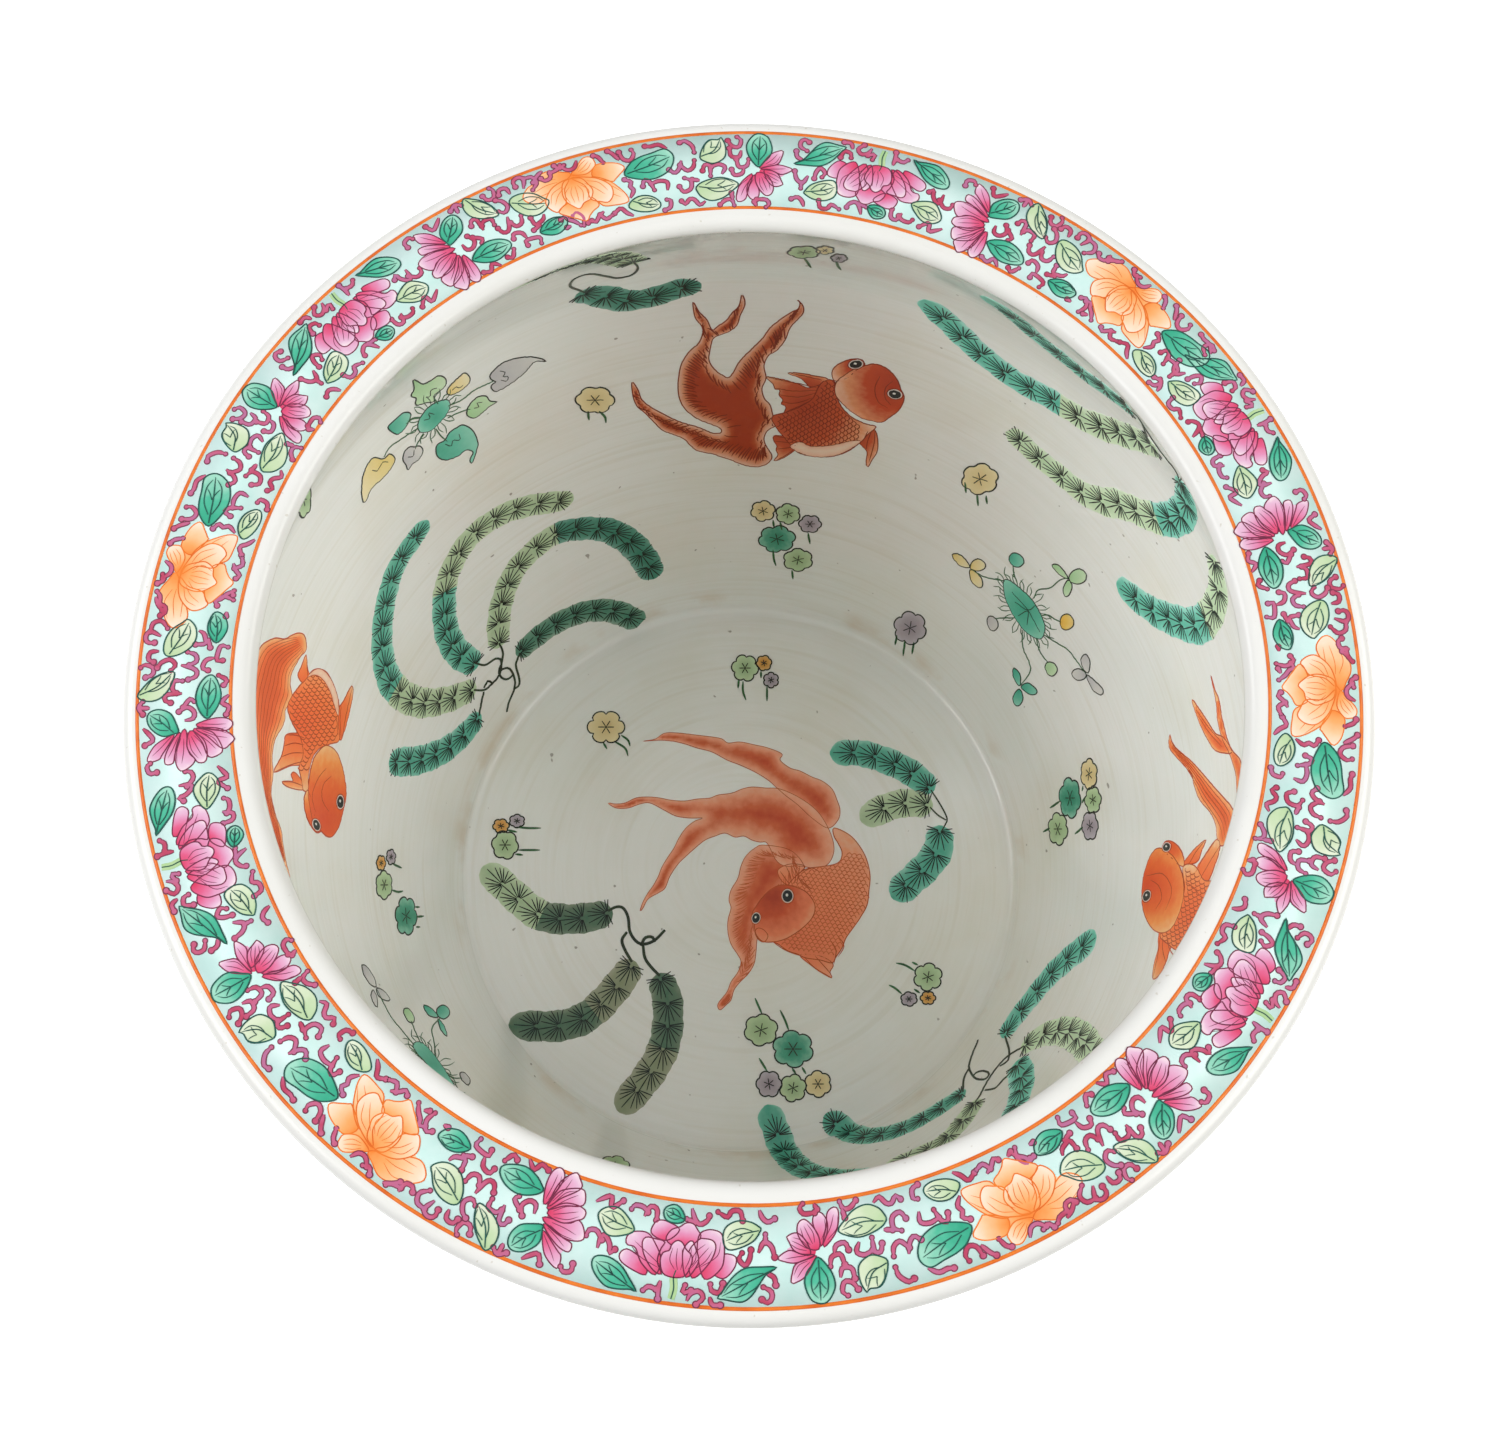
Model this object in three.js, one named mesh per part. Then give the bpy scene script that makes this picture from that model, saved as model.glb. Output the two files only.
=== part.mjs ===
// Porcelain fishbowl jardiniere: a round-bellied bowl on a low foot ring, with a flat everted rim
// that carries a painted border. Millimetres, Z up, origin at the centre of the foot's bearing face.
import * as THREE from 'three';

// Overall sizes
const bowlHeight = 414;
const rimRadius = 230;
const rimWidth = 48;
const bellyRadius = 230;
const bellyLevel = 302;

// Wall
const bellyWall = 9;
const neckWall = 9;
const toeWall = 12;
const toeInnerRadius = 160;
const toeRise = 4;
const lowerSeamLevel = 160;
const lowerFullness = 2.3;
const shoulderFullness = 1.6;

// Rim
const rimRootThickness = 13;
const rimEdgeThickness = 10;
const neckLength = 9;
const mouthRounding = 5;
const lipRoundingShare = 0.5;

// Foot and floor
const footHeight = 10;
const footRadius = 165;
const footWidth = 14;
const footDraft = 1;
const footChamfer = 1.5;
const footStep = 3;
const floorThickness = 9;
const floorDish = 1;
const cornerRun = 6;

// Painted border on the rim
const mouthMargin = 8;
const borderMargin = 6.5;
const borderLineWidth = 1.3;
const enamelThickness = 0.4;

// Facets
const turnSegments = 80;
const wallSteps = 6;
const roundSteps = 5;

// Levels and radii that follow from the sizes
const floorLevel = footHeight + floorThickness;
const toeLevel = floorLevel + toeRise;
const rimUnderLevel = bowlHeight - rimRootThickness;
const neckLevel = rimUnderLevel - neckLength;
const bellyInnerRadius = bellyRadius - bellyWall;
const mouthRadius = rimRadius - rimWidth;
const mouthLevel = bowlHeight - mouthRounding;
const toeOuterRadius = toeInnerRadius + toeWall;
const innerLineRadius = mouthRadius + mouthMargin;
const outerLineRadius = rimRadius - borderMargin;

const porcelain = new THREE.MeshStandardMaterial({ color: 0xf1f0ea, roughness: 0.16, metalness: 0 });
const biscuit = new THREE.MeshStandardMaterial({ color: 0xcdbfa8, roughness: 0.75, metalness: 0 });
const innerGlaze = new THREE.MeshStandardMaterial({ color: 0xd9d9ce, roughness: 0.18, metalness: 0 });
const turquoiseEnamel = new THREE.MeshStandardMaterial({ color: 0xc3ebe6, roughness: 0.3, metalness: 0 });
const ironRedEnamel = new THREE.MeshStandardMaterial({ color: 0xe8702e, roughness: 0.35, metalness: 0 });

const group = new THREE.Group();

// A turned piece: the outline holds [radius, level] pairs, up the outside and down the inside
function addTurned(name, outline, material) {
  const points = outline.map(([radius, level]) => new THREE.Vector2(radius, level));
  const geometry = new THREE.LatheGeometry(points, turnSegments);
  geometry.rotateX(Math.PI / 2);
  const mesh = new THREE.Mesh(geometry, material);
  mesh.name = name;
  group.add(mesh);
}

// An outline that returns to its first point
function closed(outline) {
  return [...outline, outline[0]];
}

// Points on a quarter round or any other arc, from one angle to another, both ends included
function arc(centreRadius, centreLevel, rounding, startAngle, endAngle, steps) {
  const points = [];
  for (let i = 0; i <= steps; i += 1) {
    const angle = THREE.MathUtils.lerp(startAngle, endAngle, i / steps);
    points.push([centreRadius + rounding * Math.cos(angle), centreLevel + rounding * Math.sin(angle)]);
  }
  return points;
}

// Radius of the inside of the wall: full at the belly, drawn in to the toe and to the mouth
function innerRadius(level) {
  if (level <= bellyLevel) {
    const drop = (bellyLevel - level) / (bellyLevel - toeLevel);
    return bellyInnerRadius - (bellyInnerRadius - toeInnerRadius) * drop ** lowerFullness;
  }
  const climb = (level - bellyLevel) / (mouthLevel - bellyLevel);
  return bellyInnerRadius - (bellyInnerRadius - mouthRadius) * climb ** shoulderFullness;
}

// The wall thickens from the belly down to the toe
function wallThickness(level) {
  if (level <= bellyLevel) {
    return THREE.MathUtils.mapLinear(level, toeLevel, bellyLevel, toeWall, bellyWall);
  }
  return THREE.MathUtils.mapLinear(level, bellyLevel, neckLevel, bellyWall, neckWall);
}

// One thrown section of the wall between two flat joints
function wallSection(lowLevel, highLevel, steps) {
  const outside = [];
  const inside = [];
  for (let i = 0; i <= steps; i += 1) {
    const level = THREE.MathUtils.lerp(lowLevel, highLevel, i / steps);
    outside.push([innerRadius(level) + wallThickness(level), level]);
    inside.unshift([innerRadius(level), level]);
  }
  return closed([...outside, ...inside]);
}

// Foot ring with a narrow bearing face between two chamfers
const footInnerRadius = footRadius - footWidth;
addTurned('foot_ring', closed([
  [footInnerRadius + footDraft + footChamfer, 0],
  [footRadius - footDraft - footChamfer, 0],
  [footRadius - footDraft, footChamfer],
  [footRadius, footHeight],
  [footInnerRadius, footHeight],
  [footInnerRadius + footDraft, footChamfer],
]), biscuit);

// Floor slab: shallow dish inside, with a rounded corner that runs up into the wall
const cornerStartRadius = toeInnerRadius - cornerRun;
const cornerCurve = [];
for (let i = 0; i <= roundSteps; i += 1) {
  const angle = (Math.PI / 2) * (1 - i / roundSteps);
  cornerCurve.push([
    cornerStartRadius + cornerRun * Math.sin(angle),
    floorLevel + toeRise * (1 - Math.cos(angle)),
  ]);
}
addTurned('base_floor', [
  [0, footHeight],
  [footRadius + footStep, footHeight],
  [toeOuterRadius, toeLevel],
  ...cornerCurve,
  [0, floorLevel - floorDish],
], innerGlaze);

addTurned('lower_wall', wallSection(toeLevel, lowerSeamLevel, wallSteps), innerGlaze);
addTurned('belly_wall', wallSection(lowerSeamLevel, bellyLevel, wallSteps), innerGlaze);
addTurned('shoulder_wall', wallSection(bellyLevel, neckLevel, wallSteps), innerGlaze);

// Neck between the shoulder and the rim: upright outside, while the inside runs on towards the mouth
const neckOuterRadius = innerRadius(neckLevel) + neckWall;
const rimRootRadius = innerRadius(rimUnderLevel);
addTurned('neck_collar', closed([
  [innerRadius(neckLevel), neckLevel],
  [neckOuterRadius, neckLevel],
  [neckOuterRadius, rimUnderLevel],
  [rimRootRadius, rimUnderLevel],
]), porcelain);

// Flat everted rim: tapers outward to a half-round lip, and rounds over into the mouth
const lipRounding = rimEdgeThickness * lipRoundingShare;
addTurned('rim_flange', closed([
  [rimRootRadius, rimUnderLevel],
  [neckOuterRadius, rimUnderLevel],
  ...arc(rimRadius - lipRounding, bowlHeight - lipRounding, lipRounding, -Math.PI / 2, Math.PI / 2, roundSteps * 2),
  ...arc(mouthRadius + mouthRounding, mouthLevel, mouthRounding, Math.PI / 2, Math.PI, roundSteps),
]), porcelain);

// A flat enamel ring fired on top of the rim
function addEnamelRing(name, ringInnerRadius, ringOuterRadius, material) {
  addTurned(name, closed([
    [ringInnerRadius, bowlHeight],
    [ringOuterRadius, bowlHeight],
    [ringOuterRadius, bowlHeight + enamelThickness],
    [ringInnerRadius, bowlHeight + enamelThickness],
  ]), material);
}

const halfLine = borderLineWidth / 2;
addEnamelRing('inner_border_line', innerLineRadius - halfLine, innerLineRadius + halfLine, ironRedEnamel);
addEnamelRing('outer_border_line', outerLineRadius - halfLine, outerLineRadius + halfLine, ironRedEnamel);
addEnamelRing('turquoise_band', innerLineRadius + halfLine, outerLineRadius - halfLine, turquoiseEnamel);

export default group;
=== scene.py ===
import math

import bpy
import numpy as np
from mathutils import Matrix, Vector
from mathutils.geometry import delaunay_2d_cdt


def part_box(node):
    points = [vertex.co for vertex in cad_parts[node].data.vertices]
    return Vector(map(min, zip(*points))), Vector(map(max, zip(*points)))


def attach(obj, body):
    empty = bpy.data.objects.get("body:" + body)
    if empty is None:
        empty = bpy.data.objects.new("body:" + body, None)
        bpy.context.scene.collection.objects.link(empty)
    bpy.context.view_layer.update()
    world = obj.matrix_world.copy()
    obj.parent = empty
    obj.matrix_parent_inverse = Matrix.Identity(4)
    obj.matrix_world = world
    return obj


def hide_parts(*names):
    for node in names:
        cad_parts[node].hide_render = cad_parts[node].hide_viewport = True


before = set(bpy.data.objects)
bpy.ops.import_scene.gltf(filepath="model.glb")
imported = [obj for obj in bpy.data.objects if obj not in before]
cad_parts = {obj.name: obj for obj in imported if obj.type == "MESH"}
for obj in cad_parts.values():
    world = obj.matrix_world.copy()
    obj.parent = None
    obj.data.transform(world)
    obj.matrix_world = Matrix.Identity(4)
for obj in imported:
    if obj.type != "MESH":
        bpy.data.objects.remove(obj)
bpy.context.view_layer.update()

MM = 0.001

# Sizes that follow the CAD nodes, in millimetres
RIM_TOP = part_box("rim_flange")[1].z / MM
RIM_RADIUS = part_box("rim_flange")[1].x / MM
OUTER_LINE_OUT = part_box("outer_border_line")[1].x / MM
BAND_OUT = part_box("turquoise_band")[1].x / MM
INNER_LINE_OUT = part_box("inner_border_line")[1].x / MM
NECK_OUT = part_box("neck_collar")[1].x / MM
UNDER_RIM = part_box("neck_collar")[1].z / MM
NECK_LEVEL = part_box("neck_collar")[0].z / MM
BELLY_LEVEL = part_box("shoulder_wall")[0].z / MM
LOWER_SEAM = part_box("belly_wall")[0].z / MM
TOE_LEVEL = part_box("lower_wall")[0].z / MM
BASE_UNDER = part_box("base_floor")[0].z / MM
TOE_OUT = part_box("base_floor")[1].x / MM
FOOT_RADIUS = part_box("foot_ring")[1].x / MM

# Inner sizes of the solids, in millimetres
MOUTH_RADIUS = 182.0
MOUTH_ROUNDING = 5.0
LIP_ROUNDING = 5.0
BELLY_INNER = 221.0
BELLY_WALL = 9.0
TOE_WALL = 12.0
TOE_INNER = 160.0
CORNER_RUN = 6.0
FLOOR_LEVEL = 19.0
FLOOR_DISH = 1.0
FOOT_STEP = 3.0
LINE_WIDTH = 1.3
SHRINK = 0.05          # keeps fine round meshes within the faceted CAD box

# Exponents of the wall's two curves
LOWER_FULLNESS = 2.3
SHOULDER_FULLNESS = 1.6

# Steps of the turned meshes: round the bowl, then along the stretches of its section
TURNS = 288
FLOOR_STEPS = 30
CORNER_STEPS = 8
CORNER_CROWDING = 1.6
WALL_STEPS = 70
SHOULDER_STEPS = 30
NECK_STEPS = 4
MOUTH_STEPS = 10
RIM_STEPS = 16
LIP_STEPS = 20
RIM_UNDER_STEPS = 12
UNDERSIDE_STEPS = 5

# Enamel painting, in millimetres. Slabs lie FILL_STEP apart for each level, strips lie at STRIP_LIFT
GROUND_LIFT = 0.10
BORDER_LINE_LIFT = 0.12
FILL_LIFT = 0.16
FILL_STEP = 0.012
STRIP_LIFT = 0.30
SINK = 0.02
OUTSIDE_LIFT = 0.15
BORDER_MIDDLE = 206.5

# Painted shapes: points between two given ones, levels tried along a ray, the share of a cell that stays
# free at an outline, and the share of a strip over which each end narrows
CURVE_STEPS = 12
RAY_LEVELS = 700
EDGE_GAP = 0.35
NARROWING = 0.3

# Brown water line inside, in millimetres above the foot
STAIN_START = 20.0
STAIN_SPAN = 16.0

# Thin lines outside: level of the lower edge and width, in millimetres
OUTSIDE_LINES = (
    ("foot_line_low", 27.0, 2.2),
    ("foot_line_high", 31.0, 1.0),
    ("neck_line_low", 383.0, 1.0),
    ("neck_line_high", 386.0, 2.2),
)

# Studio, in metres. The floor lies just below the foot, so that the two faces don't coincide
STUDIO_FLOOR_DROP = -0.0001
STUDIO_FLOOR_HALF = 6.0
STUDIO_FLOOR_COLOUR = (0.82, 0.82, 0.81, 1)
STUDIO_FLOOR_GLOW = 0.62
SHADOW_REACH = 0.8
WORLD_STRENGTH = 0.17

# Lamps: name, place and size in metres, watts, colour
LAMP_AIM = (0, 0, 0.25)
LAMPS = (
    ("softbox_left", (-1.75, -0.2, 1.85), (2.2, 1.2), 45, (1, 1, 1)),
    ("small_lamp", (0.95, -0.25, 1.9), (0.5, 0.16), 0.8, (1, 1, 1)),
    ("softbox_right", (1.8, -0.1, 1.85), (2.2, 1.2), 42, (1.0, 0.99, 0.945)),
)

# The photograph's frame and the camera fitted to its circles, in pixels, millimetres and degrees
PHOTO_WIDTH = 1500
PHOTO_HEIGHT = 1455
FOCAL_PX = 1798.0
SENSOR = 36.0
EYE_DISTANCE = 659.3
EYE_ELEVATION = 73.006
EYE_ROLL = 3.552
AIM = (0.34, -22.23)


# Profile of the bowl

def inner_radius(level):
    """Radius of the inside surface at a level, from the floor's centre up to the mouth."""
    z = np.asarray(level, float)
    drop = np.clip((BELLY_LEVEL - z) / (BELLY_LEVEL - TOE_LEVEL), 0, 1)
    lower = BELLY_INNER - (BELLY_INNER - TOE_INNER) * drop ** LOWER_FULLNESS
    climb = np.clip((z - BELLY_LEVEL) / (RIM_TOP - MOUTH_ROUNDING - BELLY_LEVEL), 0, 1)
    upper = BELLY_INNER - (BELLY_INNER - MOUTH_RADIUS) * climb ** SHOULDER_FULLNESS
    wall = np.where(z < BELLY_LEVEL, lower, upper)
    rise = np.clip((z - FLOOR_LEVEL) / (TOE_LEVEL - FLOOR_LEVEL), 0, 1)
    corner = TOE_INNER - CORNER_RUN + CORNER_RUN * np.sqrt(1 - (1 - rise) ** 2)
    dish = (TOE_INNER - CORNER_RUN) * np.clip((z - FLOOR_LEVEL + FLOOR_DISH) / FLOOR_DISH, 0, 1)
    return np.where(z >= TOE_LEVEL, wall, np.where(z >= FLOOR_LEVEL, corner, dish))


def wall_thickness(level):
    """Thickness of the wall, from the toe's up to the belly's."""
    share = np.clip((level - TOE_LEVEL) / (BELLY_LEVEL - TOE_LEVEL), 0, 1)
    return TOE_WALL + (BELLY_WALL - TOE_WALL) * share


def arc(centre_r, centre_z, rounding, start, end, steps):
    """Points of an arc, without its first one."""
    angles = [math.radians(start + (end - start) * i / steps) for i in range(1, steps + 1)]
    return [(centre_r + rounding * math.cos(a), centre_z + rounding * math.sin(a)) for a in angles]


def straight(a, b, steps):
    """Points of a straight line, without its first one."""
    run, climb = b[0] - a[0], b[1] - a[1]
    return [(a[0] + run * i / steps, a[1] + climb * i / steps) for i in range(1, steps + 1)]


def level_steps(start, end, steps):
    """Even levels from start to end, without the first one."""
    return np.linspace(start, end, steps + 1)[1:]


def inside_points(levels):
    """Points of the inside surface at these levels."""
    return [(float(inner_radius(z)), z) for z in levels]


def full_outline():
    """The bowl's whole section as (radius, level): floor, inside, rim, outside, foot step."""
    mouth_top = RIM_TOP - MOUTH_ROUNDING
    rim_radius = RIM_RADIUS - SHRINK
    corner = [FLOOR_LEVEL + (TOE_LEVEL - FLOOR_LEVEL) * (i / CORNER_STEPS) ** CORNER_CROWDING
              for i in range(1, CORNER_STEPS + 1)]
    points = [(0.0, FLOOR_LEVEL - FLOOR_DISH)]
    points += straight(points[-1], (TOE_INNER - CORNER_RUN, FLOOR_LEVEL), FLOOR_STEPS)
    points += inside_points(corner)
    points += inside_points(level_steps(TOE_LEVEL, BELLY_LEVEL, WALL_STEPS))
    points += inside_points(level_steps(BELLY_LEVEL, NECK_LEVEL, SHOULDER_STEPS))
    points += inside_points(level_steps(NECK_LEVEL, UNDER_RIM, NECK_STEPS))
    points += inside_points(level_steps(UNDER_RIM, mouth_top, NECK_STEPS))
    points += arc(MOUTH_RADIUS + MOUTH_ROUNDING, mouth_top, MOUTH_ROUNDING, 180, 90, MOUTH_STEPS)
    points += straight(points[-1], (rim_radius - LIP_ROUNDING, RIM_TOP), RIM_STEPS)
    points += arc(rim_radius - LIP_ROUNDING, RIM_TOP - LIP_ROUNDING, LIP_ROUNDING, 90, -90, LIP_STEPS)
    points += straight(points[-1], (NECK_OUT, UNDER_RIM), RIM_UNDER_STEPS)
    points += straight(points[-1], (NECK_OUT, NECK_LEVEL), NECK_STEPS)
    for z in level_steps(NECK_LEVEL, BELLY_LEVEL, SHOULDER_STEPS):
        points.append((float(inner_radius(z)) + BELLY_WALL - SHRINK, z))
    for z in level_steps(BELLY_LEVEL, TOE_LEVEL, WALL_STEPS):
        points.append((float(inner_radius(z) + wall_thickness(z)) - SHRINK, z))
    points += straight(points[-1], (FOOT_RADIUS + FOOT_STEP, BASE_UNDER), UNDERSIDE_STEPS)
    return np.array(points)


OUTLINE = full_outline()
TANGENT = np.gradient(OUTLINE, axis=0)
OUTLINE_NORMAL = np.stack([-TANGENT[:, 1], TANGENT[:, 0]], 1)
OUTLINE_NORMAL /= np.linalg.norm(OUTLINE_NORMAL, axis=1, keepdims=True)


def outline_between(start, end):
    """Points and normals of the section between two of its points, both included."""
    return OUTLINE[start:end + 1], OUTLINE_NORMAL[start:end + 1]


def index_of(point):
    """The section's point that lies nearest."""
    return int(np.argmin(np.linalg.norm(OUTLINE - np.array(point), axis=1)))


INSIDE_END = index_of((MOUTH_RADIUS, RIM_TOP - MOUTH_ROUNDING)) + 1


# Turned pieces

def turned(name, runs, materials):
    """A closed piece of revolution. runs is a list of (points, normals or None, material number)."""
    rings, face_rows = [], []
    for points, normals, number in runs:
        start = len(rings)
        for i, p in enumerate(points):
            if rings and i == 0 and np.allclose(rings[-1], p, atol=1e-6):
                start -= 1
                continue
            rings.append(tuple(p))
        for i in range(len(points) - 1):
            face_rows.append((start + i, start + i + 1, number, normals is not None,
                              None if normals is None else (normals[i], normals[i + 1])))
    count = len(rings)
    if np.allclose(rings[0], rings[-1], atol=1e-6):
        rings.pop()
        face_rows = [(a % (count - 1), b % (count - 1), m, s, n) for a, b, m, s, n in face_rows]
    angles = [2 * math.pi * k / TURNS for k in range(TURNS)]
    vertices, first = [], []
    for radius, level in rings:
        first.append(len(vertices))
        if radius < 1e-6:
            vertices.append((0, 0, level * MM))
        else:
            vertices += [(radius * MM * math.cos(a), radius * MM * math.sin(a), level * MM) for a in angles]
    faces, numbers, loop_normals = [], [], []
    for a, b, number, smooth, normals in face_rows:
        on_axis = [rings[i][0] < 1e-6 for i in (a, b)]
        if all(on_axis):
            continue
        for k in range(TURNS):
            n = (k + 1) % TURNS
            quad = [(a, k), (b, k), (b, n), (a, n)]
            if on_axis[0]:
                quad = quad[:3]
            if on_axis[1]:
                quad = quad[:2] + quad[3:]
            faces.append([first[i] + (0 if rings[i][0] < 1e-6 else j) for i, j in quad])
            numbers.append(number)
            if smooth:
                for i, j in quad:
                    nr, nz = normals[0] if i == a else normals[1]
                    loop_normals.append((nr * math.cos(angles[j]), nr * math.sin(angles[j]), nz))
            else:
                loop_normals += [(0, 0, 0)] * len(quad)
    mesh = bpy.data.meshes.new(name)
    mesh.from_pydata(vertices, [], faces)
    mesh.polygons.foreach_set("material_index", numbers)
    mesh.polygons.foreach_set("use_smooth", [True] * len(faces))
    for material in materials:
        mesh.materials.append(material)
    mesh.update()
    mesh.normals_split_custom_set(loop_normals)
    piece = bpy.data.objects.new(name, mesh)
    bpy.context.scene.collection.objects.link(piece)
    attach(piece, "root")
    return piece


# Camera, light and backdrop

EYE = np.array([0.0, -math.cos(math.radians(EYE_ELEVATION)), math.sin(math.radians(EYE_ELEVATION))])
EYE = EYE * EYE_DISTANCE + np.array([0, 0, RIM_TOP])
LOOK = np.array([AIM[0], AIM[1], RIM_TOP]) - EYE
LOOK /= np.linalg.norm(LOOK)
LEVEL_RIGHT = np.cross(LOOK, [0, 0, 1])
LEVEL_RIGHT /= np.linalg.norm(LEVEL_RIGHT)
LEVEL_UP = np.cross(LEVEL_RIGHT, LOOK)
ROLL = math.radians(EYE_ROLL)
RIGHT = math.cos(ROLL) * LEVEL_RIGHT + math.sin(ROLL) * LEVEL_UP
UP = math.cos(ROLL) * LEVEL_UP - math.sin(ROLL) * LEVEL_RIGHT


def make_camera():
    """The camera that took the photograph, as fitted."""
    data = bpy.data.cameras.new("camera")
    data.sensor_width = SENSOR
    data.lens = FOCAL_PX * SENSOR / PHOTO_WIDTH
    data.clip_start = 0.01
    camera = bpy.data.objects.new("camera", data)
    axes = Matrix([RIGHT, UP, -LOOK]).transposed()
    camera.matrix_world = Matrix.Translation(Vector(EYE * MM)) @ axes.to_4x4()
    bpy.context.scene.collection.objects.link(camera)
    bpy.context.scene.camera = camera


def area_light(name, place, size, power, colour):
    """A rectangular lamp that faces the bowl."""
    data = bpy.data.lights.new(name, "AREA")
    data.shape = "RECTANGLE"
    data.size, data.size_y = size
    data.energy = power
    data.color = colour
    light = bpy.data.objects.new(name, data)
    light.location = place
    light.rotation_euler = (Vector(LAMP_AIM) - Vector(place)).to_track_quat("-Z", "Y").to_euler()
    bpy.context.scene.collection.objects.link(light)


def camera_white(nodes, links):
    """Is one for camera, glossy and transmission rays, which see plain white."""
    path = nodes.new("ShaderNodeLightPath")
    mirrored = math_node(nodes, links, "MAXIMUM", path.outputs["Is Glossy Ray"],
                         path.outputs["Is Transmission Ray"])
    return math_node(nodes, links, "MAXIMUM", path.outputs["Is Camera Ray"], mirrored)


def mix_shaders(nodes, links, share, first, second):
    """The output of a mix of two shaders."""
    mix = nodes.new("ShaderNodeMixShader")
    links.new(share, mix.inputs[0])
    links.new(first, mix.inputs[1])
    links.new(second, mix.inputs[2])
    return mix.outputs[0]


def glow(nodes, kind, strength):
    """The output of a white background or emission shader."""
    node = nodes.new(kind)
    node.inputs["Color"].default_value = (1, 1, 1, 1)
    node.inputs["Strength"].default_value = strength
    return node.outputs[0]


def make_world():
    """Soft light from all round, which the camera sees as plain white."""
    world = bpy.data.worlds.new("studio")
    bpy.context.scene.world = world
    world.use_nodes = True
    nodes, links = world.node_tree.nodes, world.node_tree.links
    nodes.clear()
    soft = glow(nodes, "ShaderNodeBackground", WORLD_STRENGTH)
    white = glow(nodes, "ShaderNodeBackground", 1.0)
    out = nodes.new("ShaderNodeOutputWorld")
    links.new(mix_shaders(nodes, links, camera_white(nodes, links), soft, white), out.inputs[0])


def make_floor():
    """A pale floor that keeps the bowl's shadow, and turns to plain white away from the bowl."""
    sides = ((-1, -1), (1, -1), (1, 1), (-1, 1))
    mesh = bpy.data.meshes.new("floor")
    corners = [(x * STUDIO_FLOOR_HALF, y * STUDIO_FLOOR_HALF, STUDIO_FLOOR_DROP) for x, y in sides]
    mesh.from_pydata(corners, [], [(0, 1, 2, 3)])
    floor = bpy.data.objects.new("floor", mesh)
    bpy.context.scene.collection.objects.link(floor)
    material = bpy.data.materials.new("backdrop_white")
    material.use_nodes = True
    nodes, links = material.node_tree.nodes, material.node_tree.links
    nodes.clear()
    plain = nodes.new("ShaderNodeBsdfDiffuse")
    plain.inputs["Color"].default_value = STUDIO_FLOOR_COLOUR
    both = nodes.new("ShaderNodeAddShader")
    links.new(plain.outputs[0], both.inputs[0])
    links.new(glow(nodes, "ShaderNodeEmission", STUDIO_FLOOR_GLOW), both.inputs[1])
    away = nodes.new("ShaderNodeVectorMath")
    away.operation = "LENGTH"
    links.new(nodes.new("ShaderNodeTexCoord").outputs["Object"], away.inputs[0])
    fade = nodes.new("ShaderNodeMapRange")
    fade.inputs["From Min"].default_value = SHADOW_REACH
    fade.inputs["From Max"].default_value = SHADOW_REACH * 2
    links.new(away.outputs["Value"], fade.inputs["Value"])
    white = glow(nodes, "ShaderNodeEmission", 1.0)
    faded = mix_shaders(nodes, links, fade.outputs["Result"], both.outputs[0], white)
    out = nodes.new("ShaderNodeOutputMaterial")
    links.new(mix_shaders(nodes, links, camera_white(nodes, links), plain.outputs[0], faded), out.inputs[0])
    mesh.materials.append(material)


# Materials

def math_node(nodes, links, operation, *values):
    """The output of a sum on sockets and numbers."""
    node = nodes.new("ShaderNodeMath")
    node.operation = operation
    for socket, value in zip(node.inputs, values):
        if isinstance(value, (int, float)):
            socket.default_value = value
        else:
            links.new(value, socket)
    return node.outputs[0]


def base_material(name, roughness, coat=0.0, specular=0.5):
    """A new material with its nodes, links and main shader."""
    material = bpy.data.materials.new(name)
    material.use_nodes = True
    nodes, links = material.node_tree.nodes, material.node_tree.links
    shader = nodes["Principled BSDF"]
    shader.inputs["Roughness"].default_value = roughness
    shader.inputs["Specular IOR Level"].default_value = specular
    shader.inputs["Coat Weight"].default_value = coat
    shader.inputs["Coat Roughness"].default_value = 0.05
    return material, nodes, links, shader


def noise(nodes, links, scale, detail=3.0, coords=None):
    """Noise in the object's own coordinates, or in those given."""
    node = nodes.new("ShaderNodeTexNoise")
    node.inputs["Scale"].default_value = scale
    node.inputs["Detail"].default_value = detail
    if coords is None:
        coords = nodes.new("ShaderNodeTexCoord").outputs["Object"]
    links.new(coords, node.inputs["Vector"])
    return node.outputs["Fac"]


def ramp(nodes, links, source, stops):
    """A colour ramp with hex colours at its stops."""
    node = nodes.new("ShaderNodeValToRGB")
    while len(node.color_ramp.elements) < len(stops):
        node.color_ramp.elements.new(0.5)
    for element, (place, colour) in zip(node.color_ramp.elements, stops):
        element.position = place
        element.color = (*linear(colour), 1)
    links.new(source, node.inputs["Fac"])
    return node.outputs["Color"]


def linear(colour):
    """An sRGB colour written as hex, in scene values."""
    channels = [int(colour[i:i + 2], 16) / 255 for i in (1, 3, 5)]
    return [c / 12.92 if c <= 0.04045 else ((c + 0.055) / 1.055) ** 2.4 for c in channels]


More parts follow.
